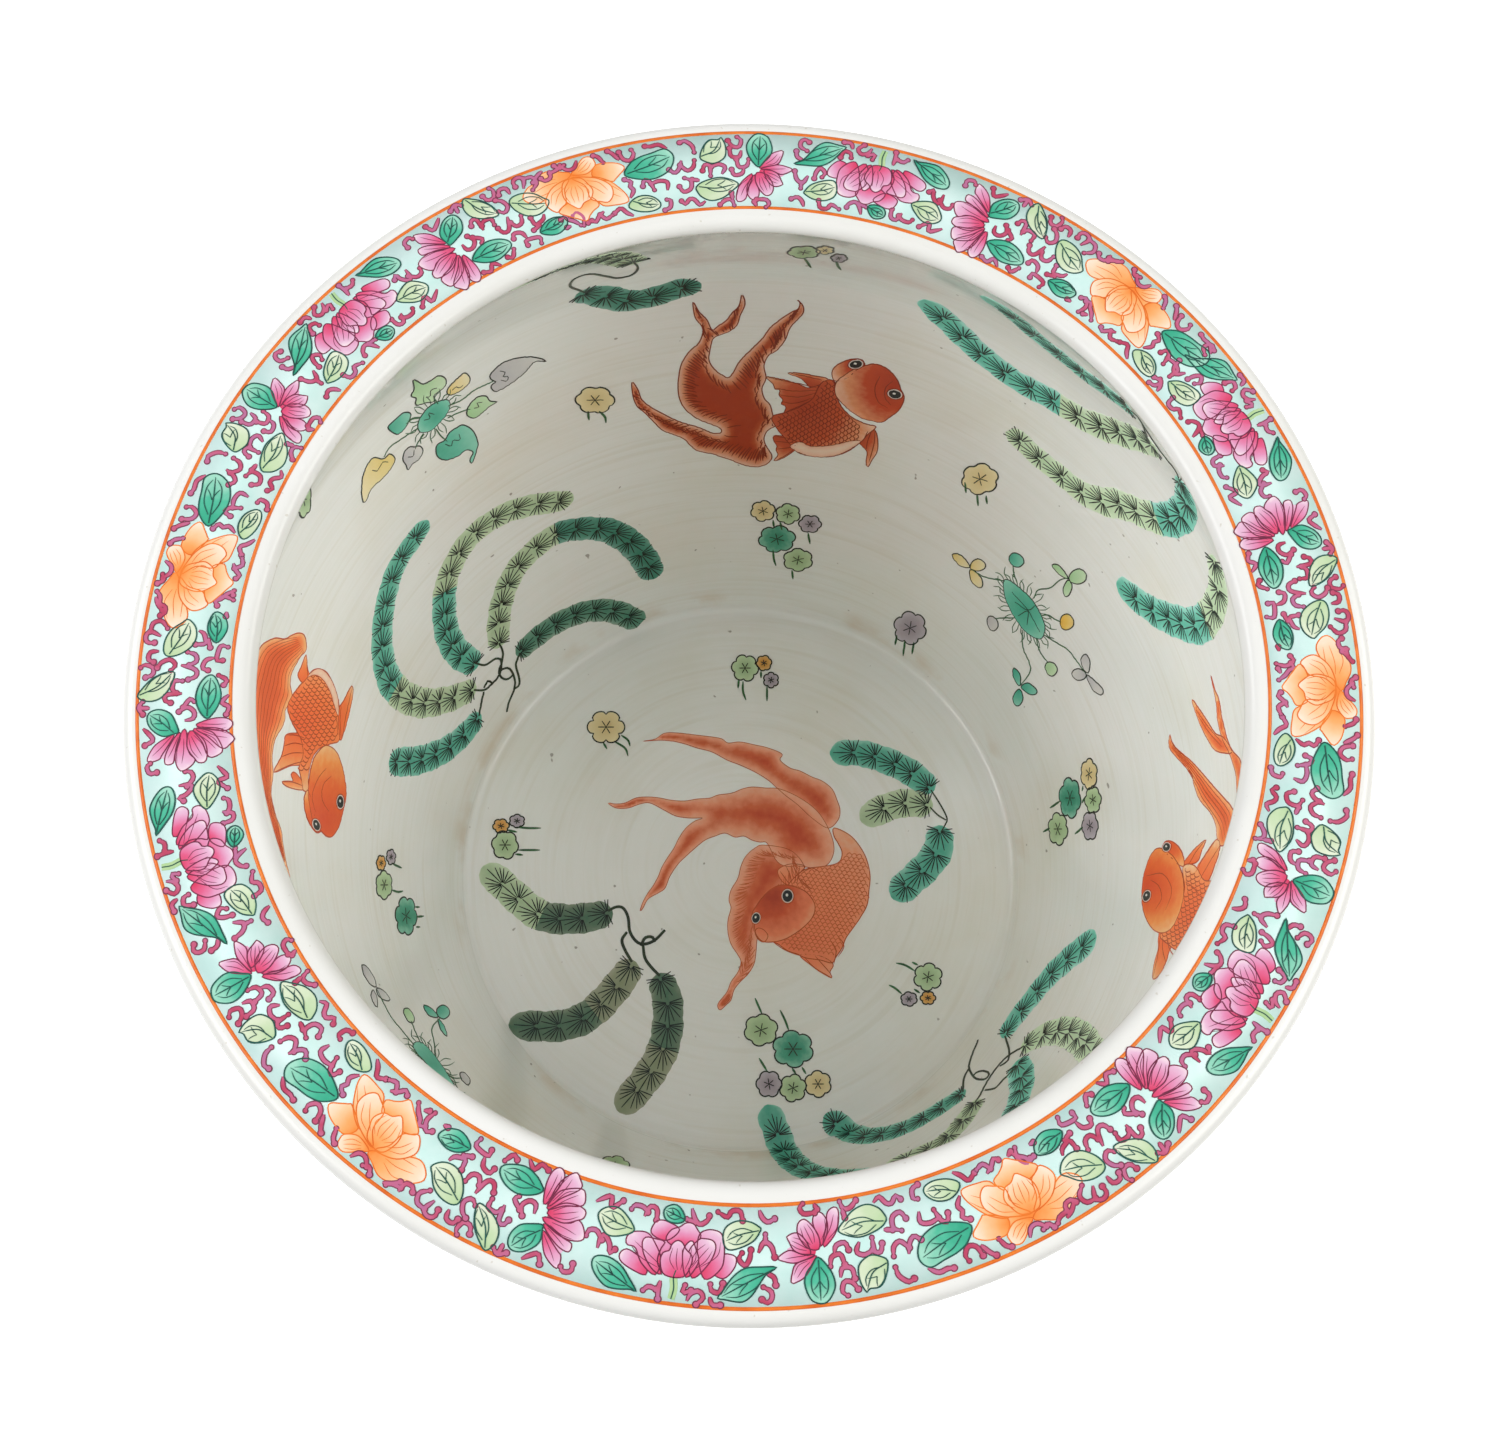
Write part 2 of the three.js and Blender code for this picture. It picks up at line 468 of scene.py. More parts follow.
def mix_colour(nodes, links, share, a, b, blend="MIX"):
    """A mix of two colours, each one a socket or a hex colour."""
    node = nodes.new("ShaderNodeMix")
    node.data_type = "RGBA"
    node.blend_type = blend
    if isinstance(share, float):
        node.inputs[0].default_value = share
    else:
        links.new(share, node.inputs[0])
    for socket, value in ((node.inputs[6], a), (node.inputs[7], b)):
        if isinstance(value, str):
            socket.default_value = (*linear(value), 1)
        else:
            links.new(value, socket)
    return node.outputs[2]


def bump(nodes, links, shader, height, strength, distance=0.0002):
    """Gives the shader a bump of this many metres."""
    node = nodes.new("ShaderNodeBump")
    node.inputs["Strength"].default_value = strength
    node.inputs["Distance"].default_value = distance
    links.new(height, node.inputs["Height"])
    links.new(node.outputs[0], shader.inputs["Normal"])


def white_glaze():
    """The white glaze of the rim and the outside, with faint specks."""
    material, nodes, links, shader = base_material("white_glaze", 0.24, 0.0, 0.35)
    tint = ramp(nodes, links, noise(nodes, links, 9.0), [(0.3, "#F0F0EE"), (0.7, "#EAEAE6")])
    specks = ramp(nodes, links, noise(nodes, links, 420.0, 1.0), [(0.74, "#FFFFFF"), (0.80, "#D3CBBD")])
    colour = mix_colour(nodes, links, 0.5, tint, specks, "MULTIPLY")
    links.new(colour, shader.inputs["Base Color"])
    bump(nodes, links, shader, noise(nodes, links, 30.0, 2.0), 0.25)
    return material


def inner_glaze():
    """The thinner glaze inside: faint throwing rings, yellowish clouds and a broken brown water line."""
    material, nodes, links, shader = base_material("inner_glaze", 0.14, 0.3)
    # The base is paler than the white glaze's: painted light that lifts the shaded inside of the bowl
    tint = ramp(nodes, links, noise(nodes, links, 7.0), [(0.3, "#F9FBFA"), (0.7, "#F5F8F5")])
    place = nodes.new("ShaderNodeTexCoord").outputs["Object"]
    split = nodes.new("ShaderNodeSeparateXYZ")
    links.new(place, split.inputs[0])
    x, y, z = split.outputs
    square = math_node(nodes, links, "ADD", math_node(nodes, links, "MULTIPLY", x, x),
                       math_node(nodes, links, "MULTIPLY", y, y))
    climb = math_node(nodes, links, "ADD", math_node(nodes, links, "SQRT", square), z)
    turning = nodes.new("ShaderNodeCombineXYZ")
    links.new(x, turning.inputs[0])
    links.new(y, turning.inputs[1])
    links.new(math_node(nodes, links, "MULTIPLY", climb, 24.0), turning.inputs[2])
    thrown = noise(nodes, links, 9.0, 4.0, turning.outputs[0])
    rings = ramp(nodes, links, thrown, [(0.3, "#F3F1EA"), (0.48, "#FFFFFF"), (0.7, "#F8F8F4")])
    colour = mix_colour(nodes, links, 0.55, tint, rings, "MULTIPLY")
    clouds = ramp(nodes, links, noise(nodes, links, 11.0, 6.0), [(0.5, "#FFFFFF"), (0.74, "#F6EFDF")])
    colour = mix_colour(nodes, links, 0.45, colour, clouds, "MULTIPLY")
    height = math_node(nodes, links, "MULTIPLY_ADD", z, 1 / (STAIN_SPAN * MM), -STAIN_START / STAIN_SPAN)
    line = ramp(nodes, links, height,
                [(0.0, "#000000"), (0.25, "#FFFFFF"), (0.45, "#FFFFFF"), (1.0, "#000000")])
    patchy = ramp(nodes, links, noise(nodes, links, 24.0, 8.0), [(0.5, "#000000"), (0.64, "#FFFFFF")])
    stain = math_node(nodes, links, "MULTIPLY", math_node(nodes, links, "MULTIPLY", line, patchy), 0.35)
    colour = mix_colour(nodes, links, stain, colour, "#D2B48C")
    specks = ramp(nodes, links, noise(nodes, links, 170.0, 1.0), [(0.775, "#FFFFFF"), (0.8, "#6A5A46")])
    colour = mix_colour(nodes, links, 0.6, colour, specks, "MULTIPLY")
    links.new(colour, shader.inputs["Base Color"])
    bump(nodes, links, shader, thrown, 0.15, 0.001)
    return material


def plain_enamel(name, stops, roughness=0.3, scale=120.0):
    """An enamel that is slightly mottled between its stops."""
    material, nodes, links, shader = base_material(name, roughness, 0.0, 0.3)
    links.new(ramp(nodes, links, noise(nodes, links, scale), stops), shader.inputs["Base Color"])
    return material


def line_enamel(name, first, second):
    """An enamel for lines, mottled between two colours."""
    return plain_enamel(name, [(0.35, first), (0.65, second)])


WHITE = white_glaze()
INNER = inner_glaze()
BISCUIT = plain_enamel("biscuit", [(0.3, "#CDBFA8"), (0.7, "#B9A88E")], 0.75, 60.0)
TURQUOISE = plain_enamel("turquoise_enamel", [(0.35, "#DCF6F3"), (0.65, "#CCEFEA")], 0.3, 70.0)
IRON_RED = line_enamel("iron_red_enamel", "#F0812F", "#E06A22")


# The porcelain and its rings

def build_body():
    """The porcelain: one turned piece for each CAD node, from one shared outline."""
    toe = index_of((TOE_INNER, TOE_LEVEL))
    seam = index_of((float(inner_radius(LOWER_SEAM)), LOWER_SEAM))
    belly = index_of((BELLY_INNER, BELLY_LEVEL))
    neck = index_of((float(inner_radius(NECK_LEVEL)), NECK_LEVEL))
    under = index_of((float(inner_radius(UNDER_RIM)), UNDER_RIM))
    out_under = index_of((NECK_OUT, UNDER_RIM))
    out_neck = index_of((NECK_OUT, NECK_LEVEL))
    out_belly = index_of((BELLY_INNER + BELLY_WALL, BELLY_LEVEL))
    out_seam = index_of((float(inner_radius(LOWER_SEAM) + wall_thickness(LOWER_SEAM)), LOWER_SEAM))
    out_toe = index_of((TOE_OUT, TOE_LEVEL))
    last = len(OUTLINE) - 1

    def section(name, inside, outside, node):
        """Runs from the low inside point over the inside, across the top joint and down the outside."""
        a, an = outline_between(*inside)
        b, bn = outline_between(*outside)
        runs = [(a, an, 1), (np.array([a[-1], b[0]]), None, 0),
                (b, bn, 0), (np.array([b[-1], a[0]]), None, 0)]
        piece = turned(name, runs, [WHITE, INNER])
        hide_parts(node)

    section("lower_wall_glazed", (toe, seam), (out_seam, out_toe), "lower_wall")
    section("belly_wall_glazed", (seam, belly), (out_belly, out_seam), "belly_wall")
    section("shoulder_wall_glazed", (belly, neck), (out_neck, out_belly), "shoulder_wall")
    section("neck_glazed", (neck, under), (out_under, out_neck), "neck_collar")
    mouth = index_of((MOUTH_RADIUS, RIM_TOP - MOUTH_ROUNDING))
    hole, hole_normals = outline_between(under, mouth)
    rim, rim_normals = outline_between(mouth, out_under)
    runs = [(hole, hole_normals, 1), (rim, rim_normals, 0), (np.array([rim[-1], hole[0]]), None, 0)]
    piece = turned("rim_glazed", runs, [WHITE, INNER])
    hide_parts("rim_flange")
    floor, floor_normals = outline_between(0, toe)
    step, step_normals = outline_between(out_toe, last)
    runs = [(floor, floor_normals, 1), (np.array([floor[-1], step[0]]), None, 0), (step, step_normals, 0),
            (np.array([step[-1], (0.0, BASE_UNDER)]), None, 0)]
    piece = turned("floor_glazed", runs, [WHITE, INNER])
    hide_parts("base_floor")


def build_rings():
    """The two painted lines and the turquoise ground between them."""
    line_top = RIM_TOP + BORDER_LINE_LIFT
    inner, outer = INNER_LINE_OUT - LINE_WIDTH, OUTER_LINE_OUT - LINE_WIDTH
    for name, node, low, high, top, material, slot in (
        ("inner_line", "inner_border_line", inner, INNER_LINE_OUT, line_top, IRON_RED, "iron_red_enamel"),
        ("outer_line", "outer_border_line", outer, OUTER_LINE_OUT, line_top, IRON_RED, "iron_red_enamel"),
        ("turquoise_ground", "turquoise_band", INNER_LINE_OUT, BAND_OUT, RIM_TOP + GROUND_LIFT, TURQUOISE,
         "turquoise_enamel"),
    ):
        corners = [(low, RIM_TOP), (low, top), (high, top), (high, RIM_TOP), (low, RIM_TOP)]
        piece = turned(name, [(np.array(corners), None, 0)], [material])
        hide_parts(node)


def build_outside_lines():
    """Fine iron-red lines round the neck and above the foot."""
    for name, low, width in OUTSIDE_LINES:
        high = low + width
        near, far = (float(inner_radius(z) + wall_thickness(z)) for z in (low, high))
        corners = [(near - SINK, low), (far - SINK, high), (far + OUTSIDE_LIFT, high),
                   (near + OUTSIDE_LIFT, low), (near - SINK, low)]
        turned(name, [(np.array(corners), None, 0)], [IRON_RED])


# Painted shapes: thin closed slabs and strips that lie on a surface

def smooth_path(points, closed, spacing):
    """A Catmull-Rom curve through the points, resampled at an even spacing."""
    pts = np.asarray(points, float)
    count = len(pts)
    if closed:
        ring = np.vstack([pts[-1], pts, pts[0], pts[1]])
        spans = count
    else:
        ring = np.vstack([2 * pts[0] - pts[1], pts, 2 * pts[-1] - pts[-2]])
        spans = count - 1
    t = np.linspace(0, 1, CURVE_STEPS + 1)[:-1, None]
    curve = []
    for i in range(spans):
        a, b, c, d = ring[i:i + 4]
        curve.append(0.5 * (2 * b + (c - a) * t + (2 * a - 5 * b + 4 * c - d) * t ** 2
                            + (3 * b - a - 3 * c + d) * t ** 3))
    curve.append(pts[:1] if closed else pts[-1:])
    curve = np.vstack(curve)
    lengths = np.concatenate([[0], np.cumsum(np.linalg.norm(np.diff(curve, axis=0), axis=1))])
    steps = max(3 if closed else 2, int(round(lengths[-1] / spacing)))
    marks = np.linspace(0, lengths[-1], steps + 1)
    even = np.stack([np.interp(marks, lengths, curve[:, k]) for k in (0, 1)], 1)
    return even[:-1] if closed else even


def ellipse(x, y, rx, ry, turn=0.0, count=20):
    """Points of an ellipse, turned by degrees."""
    angles = np.linspace(0, 2 * math.pi, count, endpoint=False)
    c, s = math.cos(math.radians(turn)), math.sin(math.radians(turn))
    ex, ey = rx * np.cos(angles), ry * np.sin(angles)
    return np.stack([x + c * ex - s * ey, y + s * ex + c * ey], 1)


def inside(points, ring):
    """Which points lie inside a closed ring."""
    x, y = points[:, 0], points[:, 1]
    result = np.zeros(len(points), bool)
    for (x0, y0), (x1, y1) in zip(ring, np.roll(ring, -1, axis=0)):
        crosses = (y0 > y) != (y1 > y)
        slope = (x1 - x0) / (y1 - y0 if y1 != y0 else 1e-9)
        result ^= crosses & (x < x0 + (y - y0) * slope)
    return result


def snap(points):
    """The nearest place on the inside of the bowl or its floor, and the normal there."""
    q = np.asarray(points, float)
    radius = np.hypot(q[:, 0], q[:, 1])
    angle = np.arctan2(q[:, 1], q[:, 0])
    flat = np.stack([radius, q[:, 2]], 1)
    line, line_normal = OUTLINE[:INSIDE_END], OUTLINE_NORMAL[:INSIDE_END]
    a, step = line[:-1], np.diff(line, axis=0)
    share = ((flat[:, None] - a) * step).sum(2) / (step ** 2).sum(1)
    share = np.clip(share, 0, 1)
    near = a + share[..., None] * step
    best = np.argmin(((flat[:, None] - near) ** 2).sum(2), axis=1)
    rows = np.arange(len(q))
    rz = near[rows, best]
    s = share[rows, best][:, None]
    n = line_normal[best] * (1 - s) + line_normal[best + 1] * s
    n /= np.linalg.norm(n, axis=1, keepdims=True)
    cos, sin = np.cos(angle), np.sin(angle)
    place = np.stack([rz[:, 0] * cos, rz[:, 0] * sin, rz[:, 1]], 1)
    return place, np.stack([n[:, 0] * cos, n[:, 0] * sin, n[:, 1]], 1)


def on_inside(pixels):
    """Where the rays through pixels of the photograph meet the inside of the bowl."""
    px = np.asarray(pixels, float)
    rays = (LOOK + np.outer((px[:, 0] - PHOTO_WIDTH / 2) / FOCAL_PX, RIGHT)
            - np.outer((px[:, 1] - PHOTO_HEIGHT / 2) / FOCAL_PX, UP))
    levels = np.linspace(RIM_TOP - MOUTH_ROUNDING, FLOOR_LEVEL - FLOOR_DISH, RAY_LEVELS)
    t = (levels[None, :] - EYE[2]) / rays[:, 2:3]
    x, y = EYE[0] + t * rays[:, :1], EYE[1] + t * rays[:, 1:2]
    gap = np.hypot(x, y) - inner_radius(levels)[None, :]
    out = gap > 0
    out[:, -1] = True
    last = out.shape[1] - 1 - np.argmax(~out[:, ::-1], axis=1)
    last = np.minimum(last, out.shape[1] - 2)
    last = np.where(out.all(1), np.argmin(gap, axis=1), last)
    rows = np.arange(len(px))
    hit = np.stack([x[rows, last], y[rows, last], levels[last]], 1)
    return snap(hit)


def on_rim(clock):
    """Places at (arc length, distance from the border's middle) on the rim, clockwise from a clock angle."""
    def place(uv):
        uv = np.asarray(uv, float)
        angle = -(math.radians(clock) + uv[:, 0] / BORDER_MIDDLE)
        radius = BORDER_MIDDLE + uv[:, 1]
        spot = np.stack([radius * np.cos(angle), radius * np.sin(angle), np.full(len(uv), RIM_TOP)], 1)
        return spot, np.tile([0.0, 0.0, 1.0], (len(uv), 1))
    return place


class Paint:
    """One enamel: collects its slabs and strips into one piece."""

    def __init__(self, name, material, slot=None):
        self.name, self.material, self.slot = name, material, slot
        self.vertices, self.faces, self.tones = [], [], []

    def add(self, vertices, faces, tones):
        first = sum(len(v) for v in self.vertices)
        self.vertices.append(vertices)
        self.faces += [[first + i for i in face] for face in faces]
        self.tones.append(tones)

    def fill(self, place, outline, level=0, base=None, spacing=1.2, cell=3.0, is_smooth=False):
        """A slab inside an outline. The tone runs from the base point (0) to the farthest edge (1),
        or, where the base is a number, from the outline (0) to places that far inside it (1)."""
        ring = np.asarray(outline, float) if is_smooth else smooth_path(outline, True, spacing)
        low, high = ring.min(0), ring.max(0)
        xs = np.arange(low[0] + cell / 2, high[0], cell)
        ys = np.arange(low[1] + cell / 2, high[1], cell)
        grid = np.stack(np.meshgrid(xs, ys), -1).reshape(-1, 2)
        grid = grid[inside(grid, ring)]
        if len(grid):
            gaps = np.linalg.norm(grid[:, None] - ring[None], axis=2).min(1)
            grid = grid[gaps > cell * EDGE_GAP]
        points = np.vstack([ring, grid])
        result = delaunay_2d_cdt([Vector(p) for p in points], [], [list(range(len(ring)))], 1, 1e-5)
        flat = np.array([tuple(v) for v in result[0]])
        triangles = [list(f) for f in result[2]]
        if not triangles:
            return
        if signed_area(flat, triangles[0]) < 0:
            triangles = [f[::-1] for f in triangles]
        if isinstance(base, float):
            reach = np.linalg.norm(flat[:, None] - ring[None], axis=2).min(1)
            near = np.linalg.norm(flat[:, None] - flat[None], axis=2) < base
            width = np.maximum(np.where(near, reach[None], 0).max(1), 1e-6)
            tone = np.clip(reach / np.minimum(width, base), 0, 1)
        else:
            origin = ring[0] if base is None else np.asarray(base, float)
            reach = np.linalg.norm(flat - origin, axis=1)
            tone = (reach - reach.min()) / max(reach.max() - reach.min(), 1e-6)
        spot, normal = place(flat)
        a, b, c = (spot[i] for i in triangles[0])
        if np.dot(np.cross(b - a, c - a), normal[triangles[0][0]]) < 0:
            triangles = [f[::-1] for f in triangles]
        count = len(flat)
        vertices = np.vstack([spot + normal * (FILL_LIFT + FILL_STEP * level), spot - normal * SINK])
        used = {}
        for face in triangles:
            for i in range(3):
                used[(face[i], face[(i + 1) % 3])] = True
        faces = list(triangles) + [[i + count for i in f[::-1]] for f in triangles]
        for a, b in used:
            if (b, a) not in used:
                faces.append([b, a, a + count, b + count])
        self.add(vertices, faces, np.tile(tone, 2))

    def strip(self, place, path, width, level=0.0, closed=False, spacing=1.0, ends=(0.35, 0.35),
              is_smooth=False):
        """A closed flat strip along a path, with its ends narrowed to shares of its width."""
        flat = np.asarray(path, float) if is_smooth else smooth_path(path, closed, spacing)
        spot, normal = place(flat)
        if closed:
            along = np.roll(spot, -1, axis=0) - np.roll(spot, 1, axis=0)
        else:
            along = np.gradient(spot, axis=0)
        along /= np.maximum(np.linalg.norm(along, axis=1, keepdims=True), 1e-9)
        side = np.cross(normal, along)
        count = len(spot)
        run = np.linspace(0, 1, count)
        half = np.full(count, width / 2)
        if not closed:
            grow = np.clip(run / NARROWING, 0, 1)
            fall = np.clip((1 - run) / NARROWING, 0, 1)
            half = half * (ends[0] + (1 - ends[0]) * np.sin(grow * math.pi / 2))
            half = half * (ends[1] + (1 - ends[1]) * np.sin(fall * math.pi / 2))
        top = spot + normal * (STRIP_LIFT + level)
        low = spot - normal * SINK
        offset = side * half[:, None]
        vertices = np.vstack([top + offset, top - offset, low - offset, low + offset])
        faces = []
        last = count if closed else count - 1
        for i in range(last):
            j = (i + 1) % count
            for a, b in ((0, 1), (1, 2), (2, 3), (3, 0)):
                faces.append([a * count + i, b * count + i, b * count + j, a * count + j])
        if not closed:
            faces.append([3 * count, 2 * count, count, 0])
            faces.append([count - 1, 2 * count - 1, 3 * count - 1, 4 * count - 1])
        self.add(vertices, faces, np.tile(run, 4))

    def outline(self, place, outline, width, level=0.0, spacing=1.0):
        """A strip all round an outline."""
        self.strip(place, outline, width, level, True, spacing)

    def build(self):
        """The collected slabs and strips as one piece on the bowl."""
        mesh = bpy.data.meshes.new(self.name)
        mesh.from_pydata((np.vstack(self.vertices) * MM).tolist(), [], self.faces)
        tone = mesh.attributes.new("tone", "FLOAT", "POINT")
        tone.data.foreach_set("value", np.concatenate(self.tones).astype(np.float32))
        mesh.materials.append(self.material)
        mesh.update()
        piece = bpy.data.objects.new(self.name, mesh)
        bpy.context.scene.collection.objects.link(piece)
        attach(piece, "root")
        return piece


def signed_area(points, face):
    """Twice a flat triangle's area, below zero where it runs clockwise."""
    a, b, c = (points[i] for i in face)
    return (b[0] - a[0]) * (c[1] - a[1]) - (b[1] - a[1]) * (c[0] - a[0])


def toned(name, stops, roughness=0.28, grain=0.12):
    """An enamel whose colour runs along the painted tone, with brushed unevenness."""
    material, nodes, links, shader = base_material(name, roughness, 0.0, 0.3)
    tone = nodes.new("ShaderNodeAttribute")
    tone.attribute_name = "tone"
    uneven = math_node(nodes, links, "MULTIPLY_ADD", noise(nodes, links, 260.0, 2.0), grain * 2, -grain)
    total = math_node(nodes, links, "ADD", tone.outputs["Fac"], uneven)
    total.node.use_clamp = True
    links.new(ramp(nodes, links, total, stops), shader.inputs["Base Color"])
    return material


# Colours of the rim's flowers and leaves along the painted tone

ORANGE_STOPS = [(0.0, "#F68A38"), (0.3, "#FAAC68"), (0.65, "#FCCDA0"), (1.0, "#FDE9D6")]
PINK_STOPS = [(0.0, "#D93A62"), (0.3, "#E2628E"), (0.6, "#E394BC"), (0.85, "#E8BCD8"), (1.0, "#F6E0EA")]
TEAL_STOPS = [(0.0, "#2CA482"), (0.5, "#50BC9C"), (1.0, "#A6DFCA")]
PALE_STOPS = [(0.0, "#B8D6A4"), (0.5, "#CEE0BC"), (1.0, "#E6EFD8")]
CORE_STOPS = [(0.36, "#BC4464"), (0.5, "#C86488"), (0.64, "#BA6E98")]

# How the rim's motifs are painted, in millimetres and shares of a petal or leaf
PETAL_LINE = 0.45
LINE_DROP = 9
GROUND_BEARINGS = 40
GROUND_SPREAD = 0.16
GROUND_SHARE = 0.74
RIB_SHARES = (-0.6, -0.3, 0.0, 0.3, 0.6)
RIB_START = 0.45
RIB_END = 0.62
RIB_WIDTH = 0.26
RIB_DROP = 0.004
LEAF_LINE = 0.5
MIDRIB = (0.06, 0.93)
MIDRIB_WIDTH = 0.42
STEM_LINE = (2.6, -0.1)
STEM_VEIN = (0.4, 0.0)

# Side veins of a leaf: shares along it and out to its edge, then width, level and narrowed ends
LEAF_VEINS = (
    (((0.22, 0.12), (0.45, 0.52), (0.72, 0.5), (0.88, 0.15)), 0.36, 0.005, (0.7, 0.3)),
    (((0.5, 0.0), (0.62, 0.2), (0.7, 0.42)), 0.3, 0.002, (0.8, 0.3)),
)

# Scrolls, in millimetres: each one lies a little lower than the one before, over a cycle of them
SCROLL_WIDTH = 2.0
SCROLL_MARGIN = 0.8
SCROLL_EDGE_LEVEL = -0.0804
SCROLL_CORE_LEVEL = -0.0455
BLOB_EDGE_LEVEL = 0.0537
BLOB_CORE_LEVEL = 0.0908
BLOB_RADIUS = 1.3
BLOB_LESSENING = 0.25
BLOB_MARGIN = 0.42
SCROLL_DROP = 0.00218
SECTOR_DROP = 0.00096
SCROLL_CYCLE = 28

# One repeat of the rim border, traced in millimetres: along the arc, and out from the border's middle

# The six repeats start at these degrees, clockwise. The sixth is short: it leaves out what lies between
# SHORT_FROM and SHORT_TO, and what follows is shifted back
PEONY_CLOCKS = (-1.5, 60.5, 123.8, 186.2, 247.2, 310.3)
SHORT_SECTOR = 5
SHORT_FROM = 35.0
SHORT_TO = 89.0
SHORT_SHIFT = 54.0

ORANGE_PEONY = (
    (0.3, 8.0),
    (
        (
            (0.3, 9.5), (-3, 12), (-7, 14), (-11, 13.5), (-14, 11), (-17, 10), (-20, 7), (-19, 4), (-15, 2),
            (-8, 5),
        ),
        ((0.3, 9.5), (3, 11.5), (4.5, 13.5), (7, 15.3), (9.5, 14.7), (10.3, 12.5), (10, 10.5), (6, 8)),
        (
            (10, 10.5), (14, 10.6), (18, 9.5), (20.5, 7.5), (20.3, 6), (18.5, 4.5), (16, 2.5), (14.5, 2),
            (8, 6),
        ),
        ((7, 6), (13, 3), (17, -2), (19, -6), (18.5, -8.5), (13, -8.5), (8, -7), (6, 0)),
        ((-9.5, -4.5), (-6, -8), (-3.5, -9.8), (0, -12), (2, -10), (4, -8.5), (7, -6.5), (4, -2), (-4, -2)),
        ((-1, 8), (-8, 6.5), (-12.5, 2), (-12.5, -1.5), (-10, -4.5), (-7.5, -3), (-5.2, -1.5), (-4, 4)),
        ((0, 8), (7, 6), (11, 3.5), (13.8, 0), (13.5, -4), (11, -6.5), (8, -5.5), (4.5, -3.2), (4, 3)),
        (
            (-3, 7.5), (-5.3, 3), (-5.2, -1), (-3.3, -4), (-1, -6), (1.5, -4), (4.5, -3.2), (6.3, 0),
            (5.5, 3), (3, 7),
        ),
    ),
)

PINK_PEONY = (
    (118, 9.5),
    (
        ((104, 7.5), (100.5, 4), (100, 0.5), (102.5, -0.5), (104.5, 0), (108, 5)),
        ((129, 9), (134, 8), (138, 6), (138.5, 3.5), (136, 2), (130, 5)),
        ((120, -7), (124, -9), (127, -9.3), (129, -8), (129.5, -4.5), (124, -3)),
        ((112.5, -5), (114, -8), (115.5, -9.5), (118, -9.5), (120, -8), (123, -6.5), (124, -3), (118, -1)),
        ((110, 8), (105, 4.5), (104, 0), (104.5, -5), (106, -7.5), (110, -8), (113, -6), (113, 0)),
        (
            (126, 8.5), (131, 5.5), (134, 1), (137, 0.5), (137.5, -2), (135.5, -4), (131, -4.5), (128, -2),
            (125, 3),
        ),
        ((114, 8), (109, 3), (107, -2), (108, -4.5), (111, -5), (113, -4.5), (116, 0)),
        (
            (124, 8), (126, 4), (125.5, 0), (124.5, -2.5), (128, -3), (131, -3), (132, -1), (130.5, 3),
            (127, 7),
        ),
        ((116, 8), (112.5, 3), (113.5, -1), (115.5, -4), (118, 0)),
        (
            (117, 8), (114.8, 4), (114.8, 1), (117, -1), (118.5, -3), (120.3, -3.5), (122, -2), (122.5, 0),
            (124.5, 1), (125, 4), (123, 8),
        ),
    ),
)

DIAGONAL_LOTUS = (
    (72.5, 0.5),
    (
        ((70, -1.5), (66, -5), (64, -9), (63.5, -13), (65, -14), (67.5, -12.5), (68.5, -8), (70, -4)),
        ((71, -2), (68.5, -6), (68, -10), (70, -13), (72.5, -12), (73, -9), (71.5, -5)),
        ((72, -1), (76, -2), (78.7, -6.5), (78.3, -10), (76, -11.2), (73.5, -9), (71.5, -5)),
        ((75, 0.5), (80, -1), (82, -4.5), (82.5, -6), (79, -7), (76, -4)),
        ((74, 1), (80, 2.7), (84, 2), (86, 0.8), (82, -1.5), (78, 0), (74, 0.5)),
        ((73, 1), (77, 7), (80.5, 9), (82, 9), (81.5, 6), (80, 3), (75, 1.5)),
    ),
)

HALF_LOTUS = (
    (169, 0),
    (
        ((157, 14), (162, 11), (165, 5), (164.5, 4), (158.5, 8.5), (156.8, 10)),
        ((154.8, 5), (158, 4), (165, 1.5), (165, 3), (159, 7), (155, 7.8)),
        ((151.5, 2.5), (155, 4), (160, 3.5), (166, 1), (166, -0.5), (158, -1), (155, -3), (152.5, -1)),
        ((164.5, -14), (165.5, -16.5), (167.5, -17.2), (169.5, -15), (169.8, -10), (168, -4), (166, -8)),
        ((157.5, -13), (159, -16), (161, -17.5), (164, -15), (166, -11), (166.5, -4), (163, -8)),
        ((155, -8), (155.5, -12), (157.5, -13), (162, -11.5), (165, -9), (166.5, -3), (161, -6)),
        ((155, -3), (160, -0.5), (166, -2), (162, -6.5), (157, -7.5), (153.5, -6.5), (153.5, -4)),
    ),
)

